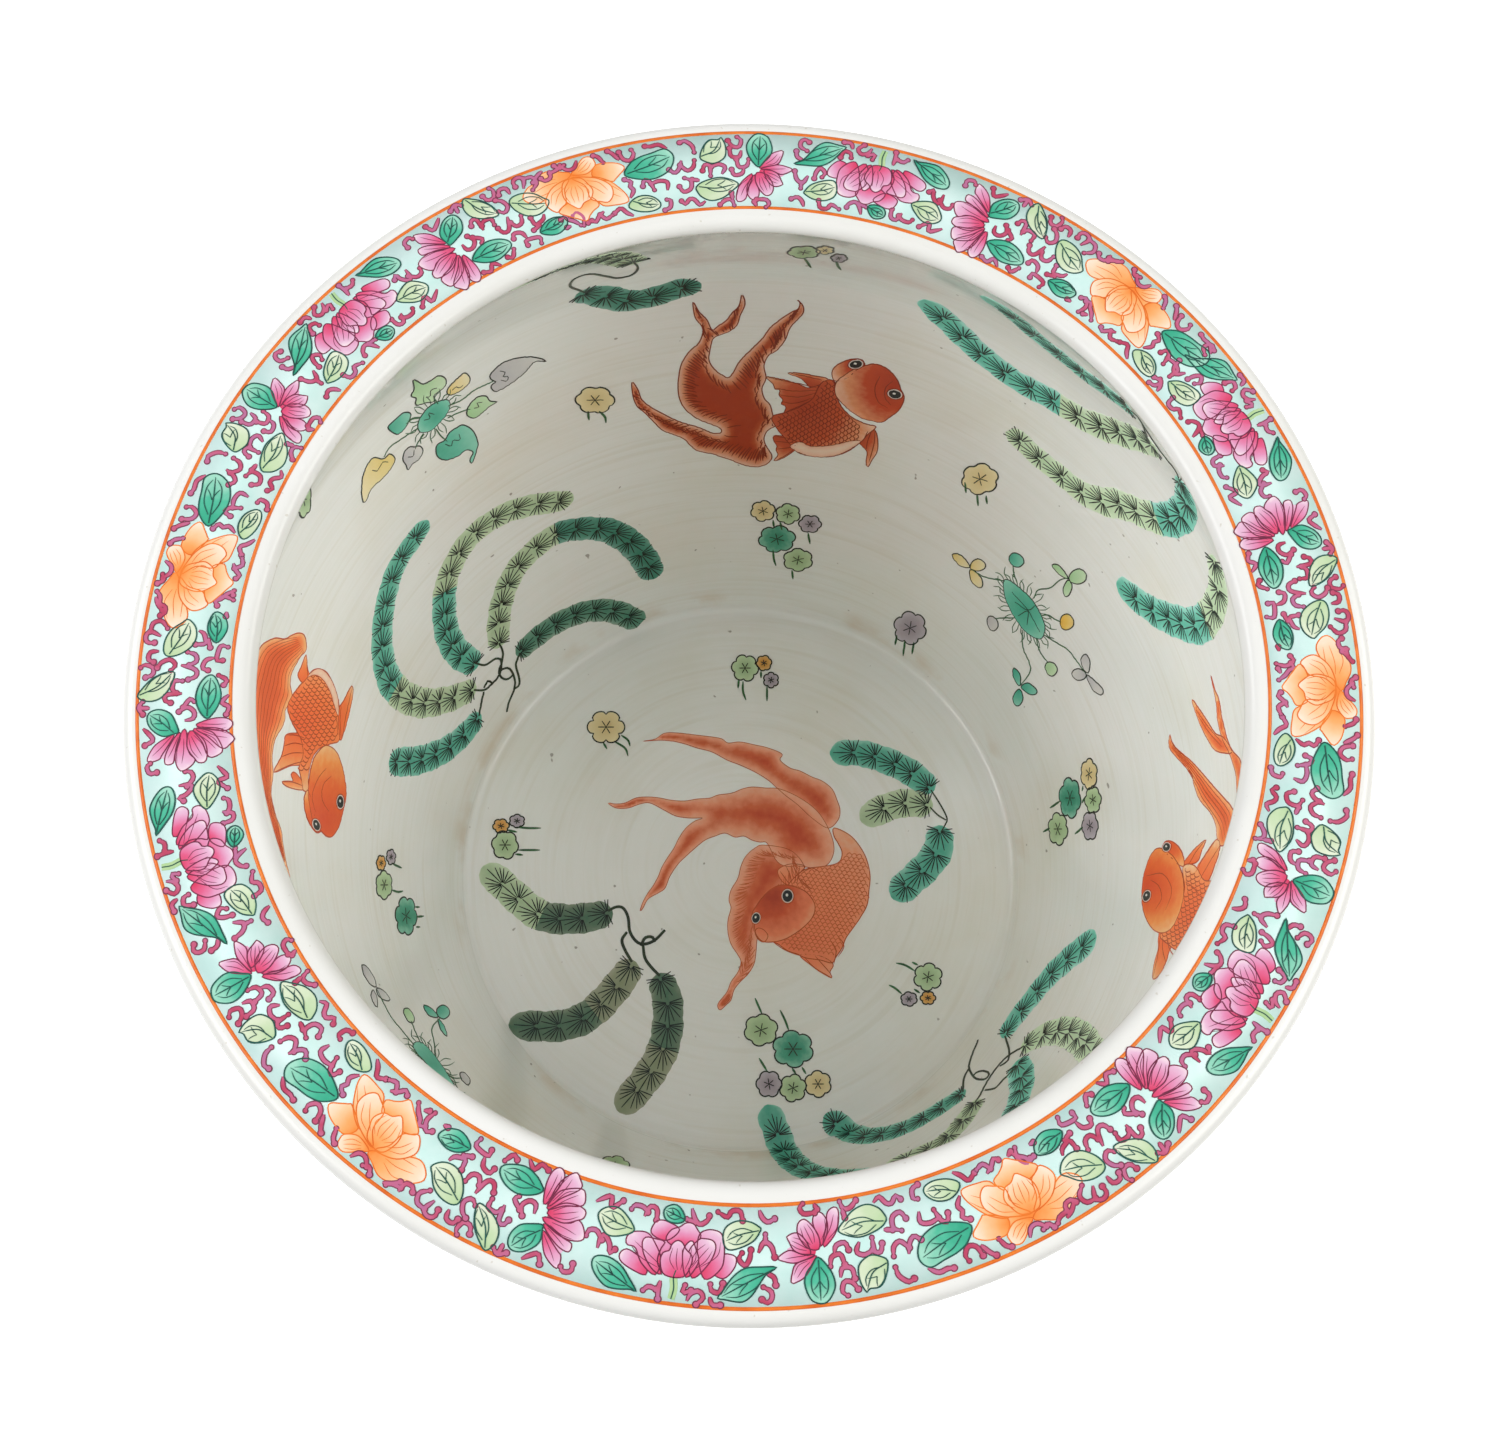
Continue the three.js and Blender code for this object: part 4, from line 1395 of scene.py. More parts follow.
# Leaves of the water plants: outline, colour
PLANT_LEAVES = (
    (
        (
            (413, 380), (417, 381), (423, 384), (430, 381), (438, 376), (445, 378), (446, 384), (441, 390),
            (434, 395), (434, 401), (425, 403), (416, 405), (416, 398), (411, 396), (414, 389),
        ),
        "green",
    ),
    (
        ((447, 392), (450, 386), (458, 378), (465, 373), (470, 378), (468, 384), (460, 391), (450, 395)),
        "yellow",
    ),
    (
        (
            (492, 380), (490, 376), (496, 368), (505, 362), (518, 358), (532, 357), (542, 359), (546, 362),
            (540, 361), (533, 363), (525, 372), (513, 382), (500, 390), (494, 391), (491, 386), (496, 382),
        ),
        "lilac",
    ),
    (
        (
            (467, 415), (468, 408), (472, 402), (478, 397), (486, 396), (490, 401), (497, 402), (490, 406),
            (482, 413), (474, 418),
        ),
        "green",
    ),
    (
        (
            (436, 450), (438, 444), (445, 440), (450, 432), (458, 427), (463, 425), (470, 428), (475, 434),
            (478, 444), (476, 452), (472, 463), (470, 460), (473, 452), (466, 450), (458, 456), (446, 460),
            (438, 457),
        ),
        "teal",
    ),
    (
        (
            (403, 460), (404, 453), (409, 447), (415, 447), (420, 446), (423, 451), (419, 459), (412, 464),
            (408, 470), (406, 465),
        ),
        "lilac",
    ),
    (
        (
            (383, 459), (390, 454), (395, 459), (391, 468), (383, 478), (372, 488), (365, 502), (362, 498),
            (362, 483), (365, 470), (373, 458),
        ),
        "yellow",
    ),
    (
        ((388, 427), (395, 420), (403, 413), (410, 413), (410, 418), (405, 428), (398, 434), (392, 432)),
        "teal",
    ),
    (((952, 555), (958, 554), (965, 559), (970, 567), (963, 567), (957, 563)), "yellow"),
    (((970, 567), (973, 561), (979, 559), (985, 563), (985, 568), (979, 571), (973, 570)), "yellow"),
    (((970, 570), (976, 572), (982, 580), (982, 587), (977, 587), (971, 580)), "yellow"),
    (((1009, 558), (1013, 553), (1020, 555), (1024, 562), (1019, 567), (1012, 565)), "teal"),
    (((1052, 565), (1058, 565), (1066, 574), (1068, 579), (1060, 575), (1055, 570)), "green"),
    (((1069, 577), (1073, 571), (1080, 569), (1086, 574), (1085, 581), (1078, 584), (1071, 582)), "green"),
    (((1068, 580), (1072, 586), (1069, 595), (1065, 596), (1063, 589)), "green"),
    (((1060, 622), (1062, 616), (1068, 614), (1073, 619), (1073, 626), (1067, 630), (1062, 628)), "orange"),
    (((987, 620), (990, 616), (996, 619), (998, 626), (994, 631), (989, 628)), "lilac"),
    (((1045, 667), (1048, 662), (1055, 664), (1057, 671), (1053, 676), (1048, 674)), "green"),
    (((1086, 654), (1090, 662), (1088, 673), (1083, 668), (1081, 659)), "lilac"),
    (((1086, 674), (1080, 669), (1074, 670), (1072, 675), (1077, 680), (1084, 679)), "lilac"),
    (((1087, 675), (1095, 681), (1103, 690), (1101, 695), (1094, 691), (1089, 683)), "lilac"),
    (((1014, 668), (1020, 675), (1020, 686), (1016, 682), (1013, 675)), "teal"),
    (((1021, 687), (1028, 683), (1036, 689), (1036, 694), (1029, 694)), "teal"),
    (((1019, 689), (1023, 697), (1020, 705), (1015, 705), (1013, 697)), "teal"),
    (((362, 965), (368, 968), (374, 978), (376, 987), (370, 984), (364, 975)), "lilac"),
    (((377, 988), (385, 992), (390, 1000), (384, 1000), (378, 995)), "lilac"),
    (((373, 990), (377, 998), (377, 1007), (373, 1002), (371, 995)), "lilac"),
    (((404, 1009), (409, 1009), (414, 1017), (413, 1023), (408, 1021), (404, 1014)), "green"),
    (((424, 1005), (432, 1009), (438, 1017), (430, 1016), (425, 1010)), "teal"),
    (((437, 1009), (443, 1005), (449, 1009), (449, 1015), (444, 1019), (438, 1016)), "teal"),
    (((438, 1019), (444, 1026), (447, 1036), (441, 1030)), "teal"),
    (((460, 1073), (465, 1073), (470, 1080), (468, 1085), (462, 1080)), "lilac"),
)

# Hairy hearts of the water plants
PLANT_HEARTS = (
    (
        (420, 432), (418, 424), (422, 415), (430, 406), (440, 401), (448, 400), (450, 406), (446, 415),
        (438, 424), (430, 431),
    ),
    (
        (1004, 580), (1012, 582), (1022, 590), (1032, 600), (1040, 613), (1045, 627), (1042, 638),
        (1035, 638), (1025, 631), (1015, 618), (1008, 605), (1004, 592),
    ),
    (
        (413, 1044), (420, 1042), (428, 1048), (438, 1060), (448, 1075), (455, 1088), (448, 1088),
        (436, 1076), (425, 1062), (416, 1052),
    ),
)

PLANT_STEMS = (
    ((448, 406), (462, 400), (475, 390), (494, 381)), ((448, 418), (460, 412), (470, 409)),
    ((420, 418), (412, 419), (406, 424)), ((418, 428), (400, 440), (390, 447), (384, 457)),
    ((424, 434), (418, 442), (415, 449)), ((436, 429), (441, 436), (447, 441)), ((438, 404), (434, 398)),
    ((1005, 581), (993, 579), (982, 576), (971, 569)), ((1017, 582), (1014, 574), (1013, 566)),
    ((1034, 598), (1038, 590), (1050, 588), (1060, 580), (1068, 578)),
    ((1041, 616), (1048, 615), (1056, 620), (1061, 622)),
    ((1044, 635), (1055, 642), (1068, 650), (1078, 663), (1086, 674)),
    ((1014, 618), (1002, 618), (995, 619)),
    ((1022, 630), (1023, 648), (1029, 662), (1030, 672), (1021, 685)),
    ((1036, 638), (1040, 652), (1048, 663)), ((377, 990), (390, 1015), (400, 1028), (414, 1045)),
    ((411, 1021), (416, 1033), (421, 1044)), ((440, 1018), (432, 1028), (434, 1042), (436, 1057)),
    ((446, 1073), (454, 1078), (462, 1078)),
)

CURLS = (
    ((500, 371), (505, 372), (503, 377), (508, 376), (507, 381), (501, 380)),
    ((372, 470), (377, 471), (380, 466), (383, 462), (388, 462)),
    ((445, 444), (451, 446), (453, 440), (460, 440), (459, 434)), ((408, 457), (413, 456), (414, 450)),
    ((426, 397), (430, 396), (431, 390), (437, 388)), ((474, 408), (479, 407), (477, 403), (482, 402)),
    ((452, 390), (456, 387), (460, 388), (463, 385)), ((424, 420), (430, 418), (428, 413), (434, 414)),
    ((1012, 592), (1027, 609), (1040, 632)), ((1015, 602), (1028, 610), (1036, 605)),
    ((1018, 616), (1028, 611), (1027, 625)),
)


# The goldfish. Fins are darkest along their middle, the rest runs from a dark point to a pale one

BACK_FISH = {
    "tails": (
        (
            (693, 302), (699, 312), (707, 320), (712, 330), (718, 326), (726, 321), (733, 312), (739, 306),
            (742, 295), (745, 304), (740, 316), (737, 325), (730, 331), (720, 335), (713, 339), (710, 350),
            (709, 360), (714, 369), (722, 375), (728, 378), (733, 373), (740, 361), (752, 349), (763, 338),
            (770, 328), (780, 320), (790, 313), (798, 309), (800, 303), (797, 300), (803, 306), (803, 313),
            (797, 320), (790, 328), (785, 340), (777, 350), (768, 356), (764, 366), (766, 378), (762, 388),
            (764, 398), (770, 405), (773, 416), (776, 425), (768, 430), (764, 438), (766, 446), (772, 456),
            (768, 463), (758, 467), (744, 465), (728, 459), (712, 454), (698, 451), (690, 445), (684, 439),
            (672, 434), (662, 430), (653, 421), (645, 413), (637, 406), (633, 396), (632, 382), (638, 390),
            (642, 400), (652, 408), (665, 415), (680, 422), (697, 427), (712, 433), (721, 433), (720, 428),
            (710, 424), (698, 419), (686, 410), (680, 400), (678, 388), (679, 375), (682, 363), (690, 351),
            (699, 343), (703, 332), (701, 325), (695, 317),
        ),
    ),
    "fins": (
        (
            (766, 377), (780, 379), (795, 383), (808, 388), (818, 386), (822, 392), (815, 399), (805, 405),
            (795, 409), (784, 414), (786, 407), (781, 404), (783, 400), (779, 395), (780, 390), (775, 389),
            (773, 384),
        ),
        (
            (788, 373), (800, 373), (815, 376), (828, 379), (822, 384), (810, 387), (806, 383), (800, 378),
            (792, 375),
        ),
        (
            (774, 436), (785, 436), (796, 438), (800, 443), (797, 448), (790, 454), (783, 458), (774, 461),
            (778, 455), (776, 450), (777, 446), (774, 441),
        ),
        (
            (872, 428), (876, 432), (878, 442), (877, 452), (872, 460), (868, 467), (866, 462), (867, 452),
            (862, 446), (858, 441), (860, 434), (866, 429),
        ),
    ),
    "rays": (
        ((818, 388), (800, 384), (780, 380), (766, 377)), ((818, 390), (795, 391), (775, 388)),
        ((816, 393), (798, 397), (780, 395)), ((812, 398), (796, 403), (782, 402)),
        ((808, 402), (795, 408), (785, 412)), ((822, 380), (805, 376), (790, 373)),
        ((798, 442), (786, 438), (774, 436)), ((798, 443), (785, 442), (774, 441)),
        ((797, 445), (787, 448), (777, 449)), ((796, 448), (786, 455), (775, 461)),
        ((872, 430), (868, 440), (866, 450)), ((875, 431), (874, 444), (869, 462)),
        ((868, 431), (863, 441)),
    ),
    "body": (
        (772, 417), (784, 413), (795, 409), (805, 404), (813, 398), (818, 388), (824, 381), (834, 381),
        (837, 390), (838, 400), (844, 410), (853, 418), (866, 424), (876, 427), (868, 434), (862, 441),
        (850, 450), (838, 455), (825, 457), (810, 456), (799, 453), (792, 446), (783, 436), (776, 427),
    ),
    "body_dark": (805, 405),
    "head": (
        (835, 392), (835, 386), (838, 380), (846, 374), (856, 368), (864, 366), (874, 364), (884, 367),
        (892, 373), (898, 381), (901, 390), (904, 396), (903, 403), (898, 411), (890, 417), (882, 422),
        (873, 421), (862, 418), (852, 412), (843, 404), (837, 397),
    ),
    "head_dark": (893, 384),
    "bump": (
        (834, 380), (832, 372), (836, 366), (843, 362), (852, 359), (860, 360), (865, 365), (856, 370),
        (850, 376), (841, 380),
    ),
    "bump_dark": (862, 362),
    "eyes": ((856, 364, 7, 4.2, -8), (895, 394, 7, 4.4, 12)),
    "scales": ((778, 424), (862, 432), 5.0),
    "root": (778, 424),
    "belly": (
        (790, 446), (798, 452), (810, 456), (825, 457), (840, 454), (852, 448), (861, 441), (850, 441),
        (838, 444), (824, 446), (810, 446), (800, 442),
    ),
    "curves": (
        ((880, 376), (875, 388), (878, 401), (888, 408)), ((893, 381), (886, 387), (885, 397), (891, 405)),
    ),
}

FLOOR_FISH = {
    "tails": (
        (
            (643, 741), (655, 739), (665, 733), (680, 733), (695, 735), (712, 737), (722, 739), (728, 743),
            (740, 742), (755, 745), (768, 748), (782, 754), (780, 760), (790, 768), (800, 771), (812, 777),
            (822, 781), (832, 789), (837, 800), (840, 810), (838, 820), (828, 828), (812, 818), (798, 805),
            (785, 795), (776, 787), (768, 780), (755, 772), (740, 765), (727, 760), (712, 752), (697, 748),
            (685, 744), (672, 741), (660, 740),
        ),
        (
            (764, 845), (755, 848), (746, 856), (741, 866), (738, 878), (731, 890), (729, 900), (731, 908),
            (728, 920), (728, 932), (731, 944), (738, 955), (741, 962), (738, 972), (731, 982), (727, 992),
            (718, 1004), (720, 1010), (726, 1005), (731, 1000), (734, 990), (740, 982), (748, 974),
            (754, 964), (756, 952), (757, 940), (760, 930), (766, 918), (778, 905), (790, 892), (800, 880),
            (804, 866), (790, 850),
        ),
        (
            (608, 803), (615, 804), (625, 803), (636, 798), (648, 797), (660, 798), (670, 800), (684, 801),
            (697, 799), (710, 798), (718, 795), (732, 793), (742, 789), (752, 787), (766, 788), (780, 789),
            (800, 798), (818, 812), (830, 832), (834, 850), (828, 864), (815, 868), (800, 866), (785, 866),
            (776, 860), (770, 848), (766, 842), (760, 842), (752, 840), (744, 836), (735, 837), (725, 833),
            (715, 836), (705, 840), (695, 848), (685, 857), (678, 864), (670, 876), (665, 888), (658, 893),
            (648, 899), (643, 908), (640, 911), (643, 902), (648, 893), (653, 886), (658, 877), (662, 867),
            (668, 857), (674, 848), (679, 838), (686, 828), (695, 821), (703, 818), (690, 818), (676, 816),
            (664, 810), (650, 803), (640, 804), (628, 808), (616, 808),
        ),
    ),
    "fins": (
        ((778, 870), (790, 864), (805, 866), (800, 873), (795, 885), (788, 885), (781, 880)),
        ((800, 955), (812, 966), (822, 973), (832, 978), (830, 972), (833, 964), (820, 956)),
    ),
    "rays": (
        ((780, 871), (785, 878), (790, 885)), ((786, 866), (790, 875), (792, 885)),
        ((793, 865), (796, 874), (794, 884)), ((800, 866), (798, 876), (797, 884)),
        ((803, 872), (812, 868), (820, 872)), ((800, 878), (806, 885), (812, 889)),
        ((796, 868), (800, 880), (812, 892)), ((804, 957), (815, 968), (832, 978)),
        ((815, 956), (824, 966), (831, 974)), ((830, 940), (836, 950), (834, 964)),
        ((838, 936), (844, 946), (838, 957)), ((768, 938), (785, 950), (804, 957)),
    ),
    "body": (
        (834, 828), (848, 834), (858, 844), (866, 858), (870, 875), (869, 890), (867, 905), (860, 918),
        (853, 928), (846, 938), (842, 948), (836, 957), (832, 963), (820, 960), (806, 958), (797, 954),
        (788, 951), (778, 944), (768, 938), (770, 922), (778, 905), (786, 888), (796, 876), (806, 869),
        (818, 867), (832, 865), (840, 861), (842, 852), (838, 843), (834, 836),
    ),
    "body_dark": (790, 940),
    "head": (
        (754, 924), (752, 914), (757, 905), (762, 898), (770, 890), (780, 885), (792, 886), (803, 890),
        (810, 896), (815, 906), (812, 918), (800, 930), (785, 939), (772, 942), (762, 941), (756, 934),
    ),
    "head_dark": (772, 897),
    "bump": ((755, 932), (758, 928), (764, 930), (768, 936), (764, 942), (758, 939)),
    "bump_dark": (760, 930),
    "eyes": ((787.5, 896, 5.6, 6.6, 0), (756, 918, 4.2, 5.4, 15)),
    "scales": ((836, 955), (850, 850), 5.0),
    "root": (800, 850),
    "pale_edge": 27.0,
    "edge_line": 0.4,
    "combed": (1,),
    "comb": (2.4, 0.5),
}

LEFT_FISH = {
    "tails": (
        (
            (250, 672), (258, 652), (262, 645), (268, 641), (276, 638), (285, 639), (292, 635), (299, 633),
            (304, 635), (306, 642), (306, 650), (301, 656), (295, 666), (291, 675), (290, 685), (292, 695),
            (289, 703), (285, 711), (285, 718), (282, 727), (276, 737), (273, 748), (272, 760), (273, 775),
            (271, 790), (272, 803), (276, 817), (281, 830), (283, 845), (286, 862), (290, 878), (283, 862),
            (277, 845), (272, 830), (267, 812), (262, 795), (257, 770), (252, 740), (248, 705),
        ),
    ),
    "fins": (
        (
            (340, 740), (336, 730), (335, 714), (340, 706), (344, 700), (349, 690), (352, 686), (353, 692),
            (351, 705), (347, 722), (342, 738),
        ),
        ((306, 655), (307, 665), (309, 678), (303, 683), (298, 675), (302, 665)),
        ((304, 735), (296, 733), (286, 735), (284, 745), (281, 757), (274, 772), (290, 766), (304, 762)),
        (
            (304, 788), (300, 790), (288, 787), (282, 782), (288, 781), (293, 781), (291, 775), (294, 772),
            (300, 778),
        ),
    ),
    "rays": (
        ((341, 738), (340, 720), (341, 705)), ((342, 738), (346, 715), (352, 688)),
        ((338, 735), (336, 716)), ((304, 738), (295, 735), (287, 735)),
        ((304, 745), (294, 743), (284, 746)), ((304, 753), (292, 753), (281, 757)),
        ((304, 761), (290, 765), (274, 772)), ((303, 786), (292, 782), (283, 782)),
        ((307, 677), (307, 665), (306, 656)),
    ),
    "body": (
        (290, 699), (292, 696), (297, 689), (301, 684), (307, 678), (312, 671), (318, 669), (325, 671),
        (331, 679), (336, 692), (339, 705), (338, 722), (339, 740), (330, 744), (320, 748), (313, 756),
        (310, 766), (308, 777), (308, 790), (303, 790), (301, 778), (299, 766), (303, 755), (301, 740),
        (296, 730), (291, 720), (288, 711), (288, 704),
    ),
    "body_dark": (298, 725),
    "head": (
        (324, 746), (331, 747), (337, 753), (341, 763), (344, 775), (346, 790), (345, 802), (342, 815),
        (339, 826), (335, 833), (331, 837), (326, 836), (319, 829), (313, 822), (310, 810), (308, 795),
        (309, 780), (311, 768), (315, 756),
    ),
    "head_dark": (325, 818),
    "bump": (
        (307, 790), (304, 800), (306, 815), (311, 826), (317, 833), (322, 828), (314, 815), (311, 800),
    ),
    "bump_dark": (314, 828),
    "eyes": ((340, 802, 3.6, 6.8, 0), (316, 825, 3.6, 6.0, -18)),
    "scales": ((302, 676), (312, 772), 5.3),
    "root": (292, 700),
    "belly": (
        (307, 677), (314, 670), (321, 669), (328, 675), (334, 686), (338, 700), (338, 716), (334, 705),
        (330, 692), (323, 680), (315, 675),
    ),
    "curves": (
        ((331, 776), (323, 785), (322, 800), (329, 812)), ((315, 812), (312, 796), (317, 780), (326, 768)),
    ),
    "waves": (
        (
            (
                (305, 637), (292, 636), (276, 639), (263, 646), (255, 660), (250, 680), (249, 705),
                (252, 740), (257, 770), (262, 795), (272, 830), (284, 863),
            ),
            (
                (306, 645), (303, 656), (295, 668), (291, 680), (291, 697), (286, 712), (281, 728),
                (274, 745), (272, 765), (272, 795), (278, 822), (285, 860),
            ),
            10,
        ),
    ),
    "combed": (),
}

RIGHT_FISH = {
    "tails": (
        (
            (1211, 676), (1215, 690), (1219, 700), (1222, 718), (1227, 738), (1232, 750), (1240, 760),
            (1244, 780), (1238, 800), (1236, 775), (1230, 755), (1223, 740), (1218, 722), (1216, 702),
        ),
        (
            (1192, 700), (1200, 710), (1208, 722), (1215, 733), (1224, 738), (1232, 752), (1224, 753),
            (1215, 750), (1208, 740), (1200, 724),
        ),
        (
            (1170, 735), (1172, 742), (1176, 748), (1184, 755), (1192, 762), (1202, 773), (1214, 787),
            (1223, 797), (1232, 808), (1236, 822), (1228, 840), (1221, 846), (1217, 836), (1216, 825),
            (1210, 812), (1200, 800), (1194, 785), (1192, 775), (1182, 763), (1172, 752), (1169, 745),
        ),
    ),
    "fins": (
        ((1184, 864), (1192, 852), (1199, 845), (1206, 840), (1202, 850), (1197, 862)),
        ((1196, 872), (1205, 855), (1216, 840), (1220, 845), (1216, 862), (1206, 884)),
        (
            (1160, 932), (1158, 950), (1154, 965), (1153, 979), (1160, 974), (1166, 962), (1169, 952),
            (1172, 942),
        ),
    ),
    "rays": (
        ((1188, 866), (1196, 852), (1205, 841)), ((1196, 872), (1205, 856), (1217, 839)),
        ((1200, 880), (1210, 862), (1220, 846)), ((1186, 882), (1194, 888), (1201, 897)),
        ((1161, 934), (1158, 955), (1153, 978)), ((1163, 936), (1163, 950), (1166, 962)),
        ((1168, 938), (1170, 950), (1178, 960)),
    ),
    "body": (
        (1183, 872), (1184, 866), (1190, 864), (1197, 868), (1204, 880), (1214, 882), (1216, 894),
        (1208, 910), (1198, 926), (1188, 940), (1178, 950), (1168, 944), (1160, 936), (1168, 928),
        (1176, 916), (1182, 900), (1185, 888),
    ),
    "body_dark": (1200, 920),
    "head": (
        (1160, 848), (1165, 850), (1172, 855), (1179, 865), (1183, 877), (1184, 892), (1182, 905),
        (1178, 917), (1172, 928), (1163, 933), (1154, 930), (1147, 920), (1143, 908), (1142, 895),
        (1143, 880), (1146, 868), (1150, 857), (1155, 850),
    ),
    "head_dark": (1150, 885),
    "bump": (
        (1165, 842), (1171, 841), (1178, 846), (1183, 855), (1184, 866), (1178, 864), (1170, 856),
        (1163, 850),
    ),
    "bump_dark": (1168, 845),
    "eyes": ((1147, 896, 3.8, 5.8, 20), (1167, 847, 3.8, 4.6, 25)),
    "scales": ((1206, 880), (1170, 946), 5.2),
    "root": (1224, 845),
    "waves": (
        (
            ((1171, 738), (1177, 748), (1192, 762), (1214, 787), (1231, 808), (1235, 826)),
            ((1170, 746), (1182, 763), (1194, 785), (1201, 801), (1216, 825), (1221, 844)), 5,
        ),
        (((1193, 702), (1209, 723), (1222, 738)), ((1200, 722), (1210, 738), (1222, 751)), 2),
    ),
    "combed": (),
    "curves": (
        ((1151, 880), (1159, 886), (1162, 898), (1156, 909)),
        ((1147, 876), (1163, 874), (1172, 890), (1166, 910)),
    ),
}

# Colours of the goldfish along the painted tone: of the far wall, of the side walls and of the floor
# The far wall's stops are darker and the side walls' brighter stops of one enamel: painted shade and painted
# light
FISH_STOPS = {
    "back": {
        "fins": [(0.0, "#F2C6AC"), (0.35, "#E6946E"), (0.7, "#C2522A"), (1.0, "#B23C18")],
        "body": [(0.0, "#B84222"), (0.5, "#D05A34"), (0.8, "#EA986C"), (1.0, "#F8CAAA")],
        "head": [(0.0, "#B63A1C"), (0.45, "#CE4C26"), (0.75, "#EE9C70"), (1.0, "#F8C8AC")],
        "line": ("#92300E", "#7E2608"),
    },
    "side": {
        "fins": [(0.0, "#FDC68A"), (0.35, "#FE8E4E"), (0.7, "#F66E30"), (1.0, "#E85E24")],
        "body": [(0.0, "#F8682C"), (0.5, "#FE8240"), (0.8, "#FEA666"), (1.0, "#FED2A2")],
        "head": [(0.0, "#E8501E"), (0.45, "#F66C2A"), (0.75, "#FE9A4C"), (1.0, "#FEC688")],
        "line": ("#C4420A", "#B03804"),
    },
    "floor": {
        "fins": [(0.0, "#FFC0A0"), (0.3, "#FBA380"), (0.65, "#E27048"), (1.0, "#CE5230")],
        "body": [(0.0, "#F8845A"), (0.5, "#FE986C"), (0.85, "#FEAA82"), (1.0, "#FEBC9A")],
        "head": [(0.0, "#BC462A"), (0.4, "#DA5E38"), (0.8, "#FA8C64"), (1.0, "#FDA880")],
        "line": ("#CC5C2C", "#B84C20"),
    },
}
FISH_GRAIN = {"back": 0.14, "side": 0.14, "floor": 0.2}

# Slabs of a fish: level, pixels between points of the edge and of the filling, then width and level of
# the outline in millimetres
FISH_SLABS = {
    "fin": (3, 2.5, 4, 0.5, -0.08),
    "body": (5, 3.0, 5, 0.55, -0.06),
    "belly": (7.5, 2.0, 3, 0.4, -0.035),
    "bump": (7, 2.0, 3, 0.5, -0.03),
    "head": (9, 2.5, 4, 0.55, -0.02),
}

# Lines of a fish, in millimetres: width, and level against that of the strips
TAIL_EDGE = (0.6, -0.1)
RAY_LINE = (0.5, -0.05)
CURVE_LINE = (0.5, 0.0)
WAVE_LINE = (0.5, -0.09)
SCALE_LINE = (0.6, -0.055)
COMB_LEVEL = -0.09

# Comb of a fin: pitch and width of its hairs. A fin is darkest this many pixels in from its edge
COMB = (3.3, 0.8)
PALE_EDGE = 14.0

# Scales, as shares of their pitch: one arc's shape, the step from row to row, the bare margin
SCALE_ARC = np.array([[-0.55, -0.1], [-0.3, 0.32], [0.0, 0.46], [0.3, 0.32], [0.55, -0.1]])
SCALE_STEP = 0.72
SCALE_MARGIN = 0.5
SCALE_ROWS = 16

# Parts of an eye, with a painted highlight on its black, as shares of its size, and their levels
EYE_RING = (1.24, 14)
EYE_WHITE = (1.06, 15)
EYE_BLACK = (0.9, 16.5)
EYE_PAINTED_HIGHLIGHT = (0.24, 18)

# Degrees by which the far side's fish and weed are turned to repeat them on the hidden near wall
HIDDEN_TURN = 178.0

# Colours of the weed and of the water plants along the painted tone
WEED_STOPS = {
    "teal": [(0.0, "#50B098"), (0.5, "#72C6B0"), (1.0, "#AEE6D8")],
    "bright": [(0.0, "#5CC2AA"), (0.5, "#82DAC6"), (1.0, "#BAF0E6")],
    "deep": [(0.0, "#3C8872"), (0.5, "#589C88"), (1.0, "#8EBEB0")],
    "dull": [(0.0, "#4E8D76"), (0.5, "#6FA089"), (1.0, "#A0B8A8")],
    "olive": [(0.0, "#4E765E"), (0.5, "#6E8670"), (1.0, "#94A48E")],
    "pale": [(0.0, "#B2CCA4"), (0.5, "#C6DCB8"), (1.0, "#D8E8CC")],
    "fresh": [(0.0, "#C4E0BA"), (0.5, "#D8F0CC"), (1.0, "#E8F8E0")],
    "moss": [(0.0, "#929E7E"), (0.5, "#A2AA8E"), (1.0, "#B2B4A0")],
}
PLANT_STOPS = {
    "teal": [(0.0, "#48B094"), (0.5, "#66C6AC"), (1.0, "#98DEC8")],
    "green": [(0.0, "#AAD8A0"), (0.5, "#BEE2B4"), (1.0, "#D8F0CC")],
    "yellow": [(0.0, "#F0D884"), (0.5, "#F8E6AC"), (1.0, "#FCF2CC")],
    "lilac": [(0.0, "#C4C2C6"), (0.5, "#D4D4D4"), (1.0, "#E2E2DE")],
    "orange": [(0.0, "#F2BC48"), (0.5, "#F6CC62"), (1.0, "#F8DC90")],
}

# Duckweed: name of the enamel, its stops and its grain, for each colour of the table
DUCKWEED_PAINTS = {
    "teal": ("duckweed_teal", [(0.0, "#348E72"), (0.5, "#56AA8E"), (1.0, "#96D4BC")], 0.35),
    "green": ("duckweed_green", [(0.0, "#A6C290"), (0.5, "#B8D4A6"), (1.0, "#CEE4BC")], 0.12),
    "yellow": ("duckweed_yellow", [(0.0, "#E4CE94"), (0.5, "#ECDAA6"), (1.0, "#F6E8BC")], 0.12),
    "lilac": ("duckweed_lilac", [(0.0, "#A89CA8"), (0.5, "#B8AEB8"), (1.0, "#CEC8D0")], 0.12),
    "orange": ("duckweed_ochre", [(0.0, "#D89A48"), (0.5, "#E4AC5C"), (1.0, "#EEC88C")], 0.12),
}

# Arms of weed, in millimetres, degrees and shares of an arm's width
WEED_STEP = 1.6
ARM_REACHES = (1.2, 2.0)
WHORL_PITCH = 0.76
WHORL_NEEDLES = 13
NEEDLE_FAN = 105
NEEDLE_WIDTH = 0.74
NEEDLE_REACH = 0.80
NEEDLE_SHORTENING = 0.29

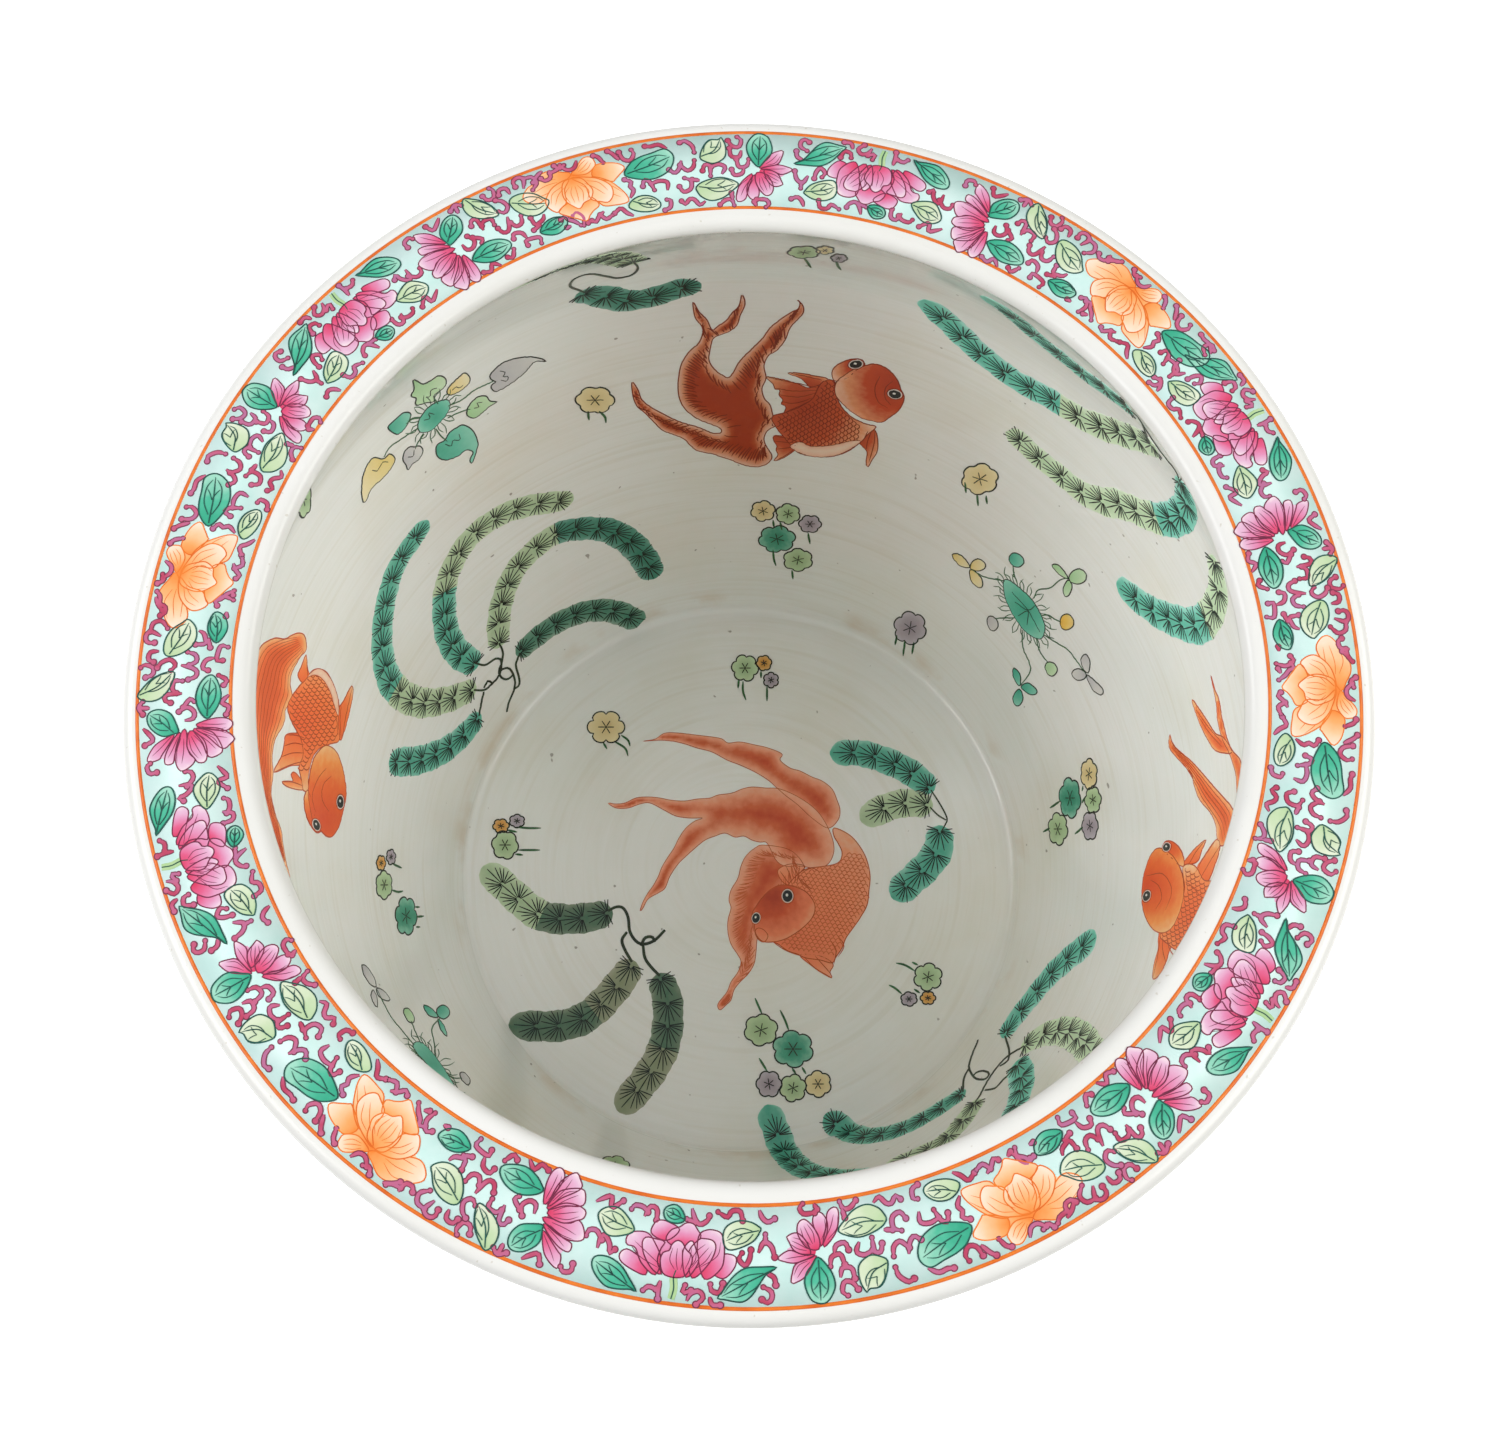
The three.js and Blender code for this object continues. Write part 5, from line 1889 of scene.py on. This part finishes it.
# Points across an arm of weed, from edge to edge, and their tones
ARM_ACROSS = (-1.0, -0.6, 0.0, 0.6, 1.0)
ARM_TONES = (0.9, 0.4, 0.1, 0.3, 0.7)

# The far side's spray of weed, which the hidden wall repeats, starts at this arm of the table
HIDDEN_ARMS = 21

# Duckweed: points round a leaf, its lobes, and the ribs that run out from its middle
BLOSSOM_POINTS = 48
BLOSSOM_LOBES = 6
BLOSSOM_INNER = 0.80
BLOSSOM_DEPTH = 0.24
SPOKE_WIDTH = 0.62
SPOKE_REACH = 0.44

# Lines of the water plants, in millimetres: width, and level against that of the strips
BLOSSOM_EDGE = (0.8, -0.03)
ROOTLET_LINE = (1.25, -0.05)
LEAF_EDGE = (0.62, -0.04)
HEART_EDGE = (0.45, -0.04)
PLANT_STEM = (0.65, -0.015)
CURL_LINE = (0.5, -0.012)
HAIR_LINE = (0.45, -0.05)


def turned_about(place, degrees):
    """The same motif again, farther round the bowl."""
    c, s = math.cos(math.radians(degrees)), math.sin(math.radians(degrees))
    rotation = np.array([[c, s, 0], [-s, c, 0], [0, 0, 1]])

    def again(points):
        spot, normal = place(points)
        return spot @ rotation, normal @ rotation
    return again


def paint_fish(fish, place, paints):
    """One goldfish: tails, fins, body with its scales, belly, bump, head, and eyes with a painted highlight,
    from low to high.
    """
    fins, body, head, belly, line, scale, eye_white, black, painted_highlight = paints

    def slab(paint, part, outline, base, rise=0.0):
        level, spacing, cell, width, line_level = FISH_SLABS[part]
        paint.fill(place, outline, level + rise, base, spacing, cell)
        line.outline(place, outline, width, line_level, 2.0)

    for order, outline in enumerate(fish["tails"]):
        fins.fill(place, outline, order, fish.get("pale_edge", PALE_EDGE), 2.6, 3.0)
        line.outline(place, outline, fish.get("edge_line", TAIL_EDGE[0]), TAIL_EDGE[1], 2.0)
        if order in fish.get("combed", (0, 1, 2)):
            paint_comb(scale, place, outline, fish["root"], *fish.get("comb", COMB))
    for outer, inner, count in fish.get("waves", ()):
        paint_waves(line, place, outer, inner, count)
    for order, outline in enumerate(fish["fins"]):
        slab(body, "fin", outline, fish["body_dark"], 0.3 * order)
    slab(body, "body", fish["body"], fish["body_dark"])
    paint_scales(scale, place, fish["body"], *fish["scales"])
    if "belly" in fish:
        slab(belly, "belly", fish["belly"], 4.0)
    for ray in fish["rays"]:
        line.strip(place, ray, *RAY_LINE, spacing=3)
    slab(head, "bump", fish["bump"], fish["bump_dark"])
    slab(head, "head", fish["head"], fish["head_dark"])
    for curve in fish.get("curves", ()):
        line.strip(place, curve, *CURVE_LINE, spacing=2, ends=(0.5, 0.4))
    for x, y, rx, ry, turn in fish["eyes"]:
        for paint, (share, level) in ((line, EYE_RING), (eye_white, EYE_WHITE), (black, EYE_BLACK)):
            paint.fill(place, ellipse(x, y, rx * share, ry * share, turn), level, is_smooth=True)
        # A pale spot on each eye is a painted highlight
        share, level = EYE_PAINTED_HIGHLIGHT
        glint = ellipse(x - rx * 0.1, y - ry * 0.15, rx * share, ry * share, turn, 10)
        painted_highlight.fill(place, glint, level, is_smooth=True)


def paint_waves(line, place, outer, inner, count):
    """Fine lines along a fin, spread evenly between its two edges."""
    low, high = (smooth_path(edge, False, 1.0) for edge in (outer, inner))
    marks = np.linspace(0, 1, 60)
    low, high = (np.stack([np.interp(marks, np.linspace(0, 1, len(edge)), edge[:, k]) for k in (0, 1)], 1)
                 for edge in (low, high))
    for i in range(1, count + 1):
        share = i / (count + 1)
        line.strip(place, (low + (high - low) * share)[2:], *WAVE_LINE, is_smooth=True)


def paint_comb(line, place, outline, root, pitch, width):
    """Fine hairs inside a fin, a few pixels in from its edge and swept towards its root."""
    ring = smooth_path(outline, True, pitch)
    ahead = np.roll(ring, -1, axis=0) - np.roll(ring, 1, axis=0)
    ahead /= np.linalg.norm(ahead, axis=1, keepdims=True)
    area = np.sum(ring[:, 0] * np.roll(ring[:, 1], -1) - ring[:, 1] * np.roll(ring[:, 0], -1))
    inward = np.stack([-ahead[:, 1], ahead[:, 0]], 1) * (1 if area > 0 else -1)
    to_root = np.array(root, float) - ring
    to_root /= np.linalg.norm(to_root, axis=1, keepdims=True)
    # The sines vary where the hairs start and how long they are
    for i in range(len(ring)):
        start = ring[i] + inward[i] * (5.0 + 1.2 * math.sin(2.3 * i))
        middle = start + inward[i] * 3.0 + to_root[i] * 3.0
        end = middle + inward[i] * 1.5 + to_root[i] * (6.0 + 2.0 * math.sin(1.7 * i))
        if inside(np.array([start, middle, end]), ring).all():
            line.strip(place, (start, middle, end), width, COMB_LEVEL, spacing=3, ends=(0.2, 0.6))


def paint_scales(line, place, outline, start, end, pitch):
    """A net of small arcs across the body, in rows from start to end."""
    ring = smooth_path(outline, True, 4.0)
    start, end = np.array(start, float), np.array(end, float)
    along = (end - start) / np.linalg.norm(end - start)
    across = np.array([-along[1], along[0]])
    columns = int(np.linalg.norm(end - start) / (pitch * SCALE_STEP))
    for column in range(columns):
        for row in range(-SCALE_ROWS, SCALE_ROWS + 1):
            aside = row + 0.5 * (column % 2)
            middle = start + across * pitch * aside + along * pitch * SCALE_STEP * column
            margin = np.linalg.norm(ring - middle, axis=1).min()
            if inside(middle[None], ring)[0] and margin >= pitch * SCALE_MARGIN:
                points = middle + pitch * (SCALE_ARC[:, :1] * across + SCALE_ARC[:, 1:] * along)
                line.strip(place, points, *SCALE_LINE, is_smooth=True, ends=(0.9, 0.9))


def weed_arm(place, path, split, first, second, width, enamels, needle):
    """A soft band of weed with a fan of needles at each whorl."""
    flat = smooth_path(path, False, 4.0)
    first_step, last_step = flat[0] - flat[1], flat[-1] - flat[-2]
    flat = np.vstack([flat[0] + first_step * ARM_REACHES[0], flat, flat[-1] + last_step * ARM_REACHES[1]])
    spot = place(flat)[0]
    steps = np.linalg.norm(np.diff(spot, axis=0), axis=1)
    run = np.concatenate([[0], np.cumsum(steps)])
    total = run[-1]
    even = np.arange(0, total, WEED_STEP)
    centre = np.stack([np.interp(even, run, spot[:, k]) for k in range(3)], 1)
    along = np.gradient(centre, axis=0)
    along /= np.linalg.norm(along, axis=1, keepdims=True)
    centre, normal = snap(centre)
    side = np.cross(normal, along)
    count = len(centre)
    half = width / 2
    ends = np.minimum(even, even[-1] - even)
    rounded = half * np.sqrt(np.clip(1 - (1 - np.clip(ends / half, 0, 1)) ** 2, 0.02, 1))
    wobble = 1 + 0.035 * np.sin(even * 0.45) + 0.025 * np.sin(even * 1.1 + 1.0)
    taper = 0.88 + 0.12 * np.sin(math.pi * even / even[-1]) ** 0.6
    rounded = rounded * wobble * taper
    cut = int(round(split * (count - 1)))
    for low, high, colour in ((0, cut, first), (cut, count - 1, second)):
        if high - low < 2:
            continue
        stretch = slice(low - 1 if low else 0, high + 1)
        band(enamels[colour], centre[stretch], side[stretch], rounded[stretch], 2 if low else 0)
    whorls = np.arange(half * 0.5, total - half * 0.9, width * WHORL_PITCH)
    for w, mark in enumerate(whorls):
        i = min(int(mark / WEED_STEP), count - 1)
        origin, tangent, across = centre[i], along[i], side[i]
        for k in range(WHORL_NEEDLES):
            spread = 2 * NEEDLE_FAN * k / (WHORL_NEEDLES - 1)
            angle = math.radians(-NEEDLE_FAN + spread + 4 * math.sin(5 * k + w))
            uneven = 0.95 + 0.08 * math.sin(3 * k + 2 * w)
            reach = width * taper[i] * (NEEDLE_REACH - NEEDLE_SHORTENING * abs(math.sin(angle))) * uneven
            if math.cos(angle) > 0.1:
                reach = min(reach, 0.9 * (total - mark) / math.cos(angle))
            direction = tangent * math.cos(angle) + across * math.sin(angle)
            tips = np.array([origin + direction * reach * share for share in (0.12, 0.6, 1.0)])
            needle.strip(lambda points, tips=tips: snap(tips), tips[:, :2], NEEDLE_WIDTH, -0.02,
                         is_smooth=True, ends=(0.6, 0.6))


def band(paint, centre, side, half, order):
    """A closed thin band with a few points across, its tone palest at the two edges."""
    count = len(centre)
    lift = FILL_LIFT + FILL_STEP * order
    rows = [snap(centre + side * (half * a)[:, None]) for a in ARM_ACROSS]
    top = np.vstack([spot + n * lift for spot, n in rows])
    low = np.vstack([spot - n * SINK for spot, n in rows])
    tone = np.concatenate([np.full(count, t) for t in ARM_TONES])
    wide = len(ARM_ACROSS)
    faces = []
    base = wide * count
    for j in range(wide - 1):
        for i in range(count - 1):
            a, b, c, d = j * count + i, j * count + i + 1, (j + 1) * count + i + 1, (j + 1) * count + i
            faces.append([a, b, c, d])
            faces.append([base + d, base + c, base + b, base + a])
    for i in range(count - 1):
        a, b = i, i + 1
        faces.append([b, a, base + a, base + b])
        a, b = (wide - 1) * count + i, (wide - 1) * count + i + 1
        faces.append([a, b, base + b, base + a])
    for j in range(wide - 1):
        a, b = j * count, (j + 1) * count
        faces.append([a, b, base + b, base + a])
        a, b = j * count + count - 1, (j + 1) * count + count - 1
        faces.append([b, a, base + a, base + b])
    paint.add(np.vstack([top, low]), faces, np.tile(tone, 2))


def blossom(x, y, rx, ry, turn):
    """The lobed outline of a leaf of duckweed."""
    angles = np.linspace(0, 2 * math.pi, BLOSSOM_POINTS, endpoint=False)
    radius = BLOSSOM_INNER + BLOSSOM_DEPTH * np.abs(np.cos(angles * BLOSSOM_LOBES / 2 + turn)) ** 0.5
    return np.stack([x + rx * radius * np.cos(angles), y + ry * radius * np.sin(angles)], 1)


def paint_goldfish():
    """The goldfish of the walls and the floor, and the guessed one on the hidden wall."""
    eye_white = Paint("goldfish_eye_rims", plain_enamel("eye_rim_grey", [(0.3, "#EFE3DC"), (0.7, "#DCCFC6")]))
    black = Paint("goldfish_eyes", line_enamel("eye_black", "#1E2422", "#121615"))
    # The pale spot on each eye is a painted highlight
    painted_highlight = Paint("goldfish_eye_painted_highlights", line_enamel("eye_painted_highlight", "#F4F2EC", "#E4E2DC"))
    belly = Paint("goldfish_bellies", toned("goldfish_belly", [(0.0, "#F6BE9E"), (1.0, "#FCDCC6")], 0.3))
    finished = []
    hidden = turned_about(on_inside, HIDDEN_TURN)
    for prefix, fishes in (
        ("back", ((BACK_FISH, on_inside), (BACK_FISH, hidden))),
        ("side", ((LEFT_FISH, on_inside), (RIGHT_FISH, on_inside))),
        ("floor", ((FLOOR_FISH, on_inside),)),
    ):
        # Far-wall fish take darker stops as painted shade, side-wall fish brighter ones as painted light
        stops = FISH_STOPS[prefix]
        fins, body, head = (
            Paint(f"{prefix}_goldfish_{part}",
                  toned(f"{prefix}_goldfish_{part}_red", stops[part], 0.3, FISH_GRAIN[prefix]))
            for part in ("fins", "body", "head"))
        line = Paint(f"{prefix}_goldfish_lines", line_enamel(f"{prefix}_fish_line_red", *stops["line"]))
        scale = line
        if prefix == "floor":
            scale = Paint("floor_goldfish_scales", line_enamel("floor_scale_red", "#E27448", "#D4643A"))
            finished.append(scale)
        for fish, place in fishes:
            paint_fish(fish, place, (fins, body, head, belly, line, scale, eye_white, black, painted_highlight))
        finished += [fins, body, head, line]
    for paint in (*finished, belly, eye_white, black, painted_highlight):
        paint.build()


def paint_weed():
    """The sprays of waterweed, with the far side's spray again on the hidden wall."""
    enamels = {key: Paint("weed_" + key, toned("weed_" + key, stops, 0.28, 0.3))
               for key, stops in WEED_STOPS.items()}
    needle = Paint("weed_needles", line_enamel("needle_black", "#0F241E", "#081611"))
    stems = Paint("weed_stems", line_enamel("stem_dark", "#34442E", "#222C20"))
    hidden = turned_about(on_inside, HIDDEN_TURN)
    for place, arms in ((on_inside, WEED_ARMS), (hidden, WEED_ARMS[HIDDEN_ARMS:])):
        for path, split, first, second, width in arms:
            weed_arm(place, path, split, first, second, width, enamels, needle)
    for width, paths in WEED_STEMS:
        for path in paths:
            stems.strip(on_inside, path, width, -0.01, spacing=2.5, ends=(0.85, 0.85))
    for paint in (*enamels.values(), needle, stems):
        paint.build()


def paint_water_plants():
    """Duckweed, and the water plants with their hairy hearts, leaves, stems and curls."""
    petals = {key: Paint("water_plants_" + key, toned(name, stops, 0.28, grain))
              for key, (name, stops, grain) in DUCKWEED_PAINTS.items()}
    leaves = {key: Paint("plant_leaves_" + key, toned("plant_leaf_" + key, stops))
              for key, stops in PLANT_STOPS.items()}
    sprig = Paint("plant_green_lines", line_enamel("sprig_green", "#3C6E44", "#2A5634"))
    ink = Paint("water_plant_lines", line_enamel("ink_brown", "#262E24", "#181E16"))
    for index, (x, y, rx, ry, colour) in enumerate(DUCKWEED):
        shape = blossom(x, y, rx, ry, index)
        petals[colour].fill(on_inside, shape, 3, (x, y), is_smooth=True, cell=4)
        ink.strip(on_inside, shape, *BLOSSOM_EDGE, True, is_smooth=True)
        middle = np.array([x, y])
        for spoke in range(BLOSSOM_LOBES):
            angle = math.radians(60 * spoke + 20 * index)
            end = middle + np.array([math.cos(angle) * rx, math.sin(angle) * ry]) * SPOKE_REACH
            level = -0.02 + 0.002 * spoke
            ink.strip(on_inside, (middle, end), SPOKE_WIDTH, level, spacing=3, ends=(0.5, 0.8))
    for path in ROOTLETS:
        sprig.strip(on_inside, path, *ROOTLET_LINE, spacing=2.5)
    for outline, colour in PLANT_LEAVES:
        leaves[colour].fill(on_inside, outline, 2, None, 2.0, 4)
        ink.outline(on_inside, outline, *LEAF_EDGE, 2.0)
    for heart in PLANT_HEARTS:
        leaves["teal"].fill(on_inside, heart, 3, np.mean(heart, axis=0), 2.0, 4)
        ink.outline(on_inside, heart, *HEART_EDGE, 2.0)
        paint_hairs(sprig, heart)
    for path in PLANT_STEMS:
        sprig.strip(on_inside, path, *PLANT_STEM, spacing=2.5, ends=(0.8, 0.6))
    for path in CURLS:
        ink.strip(on_inside, path, *CURL_LINE, spacing=2.5, ends=(0.8, 0.6))
    for paint in (*petals.values(), *leaves.values(), sprig, ink):
        paint.build()


def paint_hairs(ink, heart):
    """Short curved hairs all round a heart-shaped leaf."""
    ring = smooth_path(heart, True, 4.0)
    middle = ring.mean(0)
    for i, point in enumerate(ring):
        out = point - middle
        out /= np.linalg.norm(out)
        bend = np.array([-out[1], out[0]]) * (4.0 if i % 2 else -3.0)
        reach = 11.0 + 2.0 * math.sin(2.1 * i)
        hair = (point, point + out * reach * 0.6, point + out * reach + bend)
        ink.strip(on_inside, hair, *HAIR_LINE, spacing=2.5)


build_body()
build_rings()
build_outside_lines()
paint_rim()
paint_goldfish()
paint_weed()
paint_water_plants()
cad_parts["foot_ring"].data.materials.clear()
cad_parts["foot_ring"].data.materials.append(BISCUIT)
make_camera()
make_world()
make_floor()
for lamp in LAMPS:
    area_light(*lamp)

scene = bpy.context.scene
scene.view_settings.view_transform = "Standard"
# Light goes many times from wall to wall inside a white bowl
scene.cycles.diffuse_bounces = 12
scene.cycles.max_bounces = 16
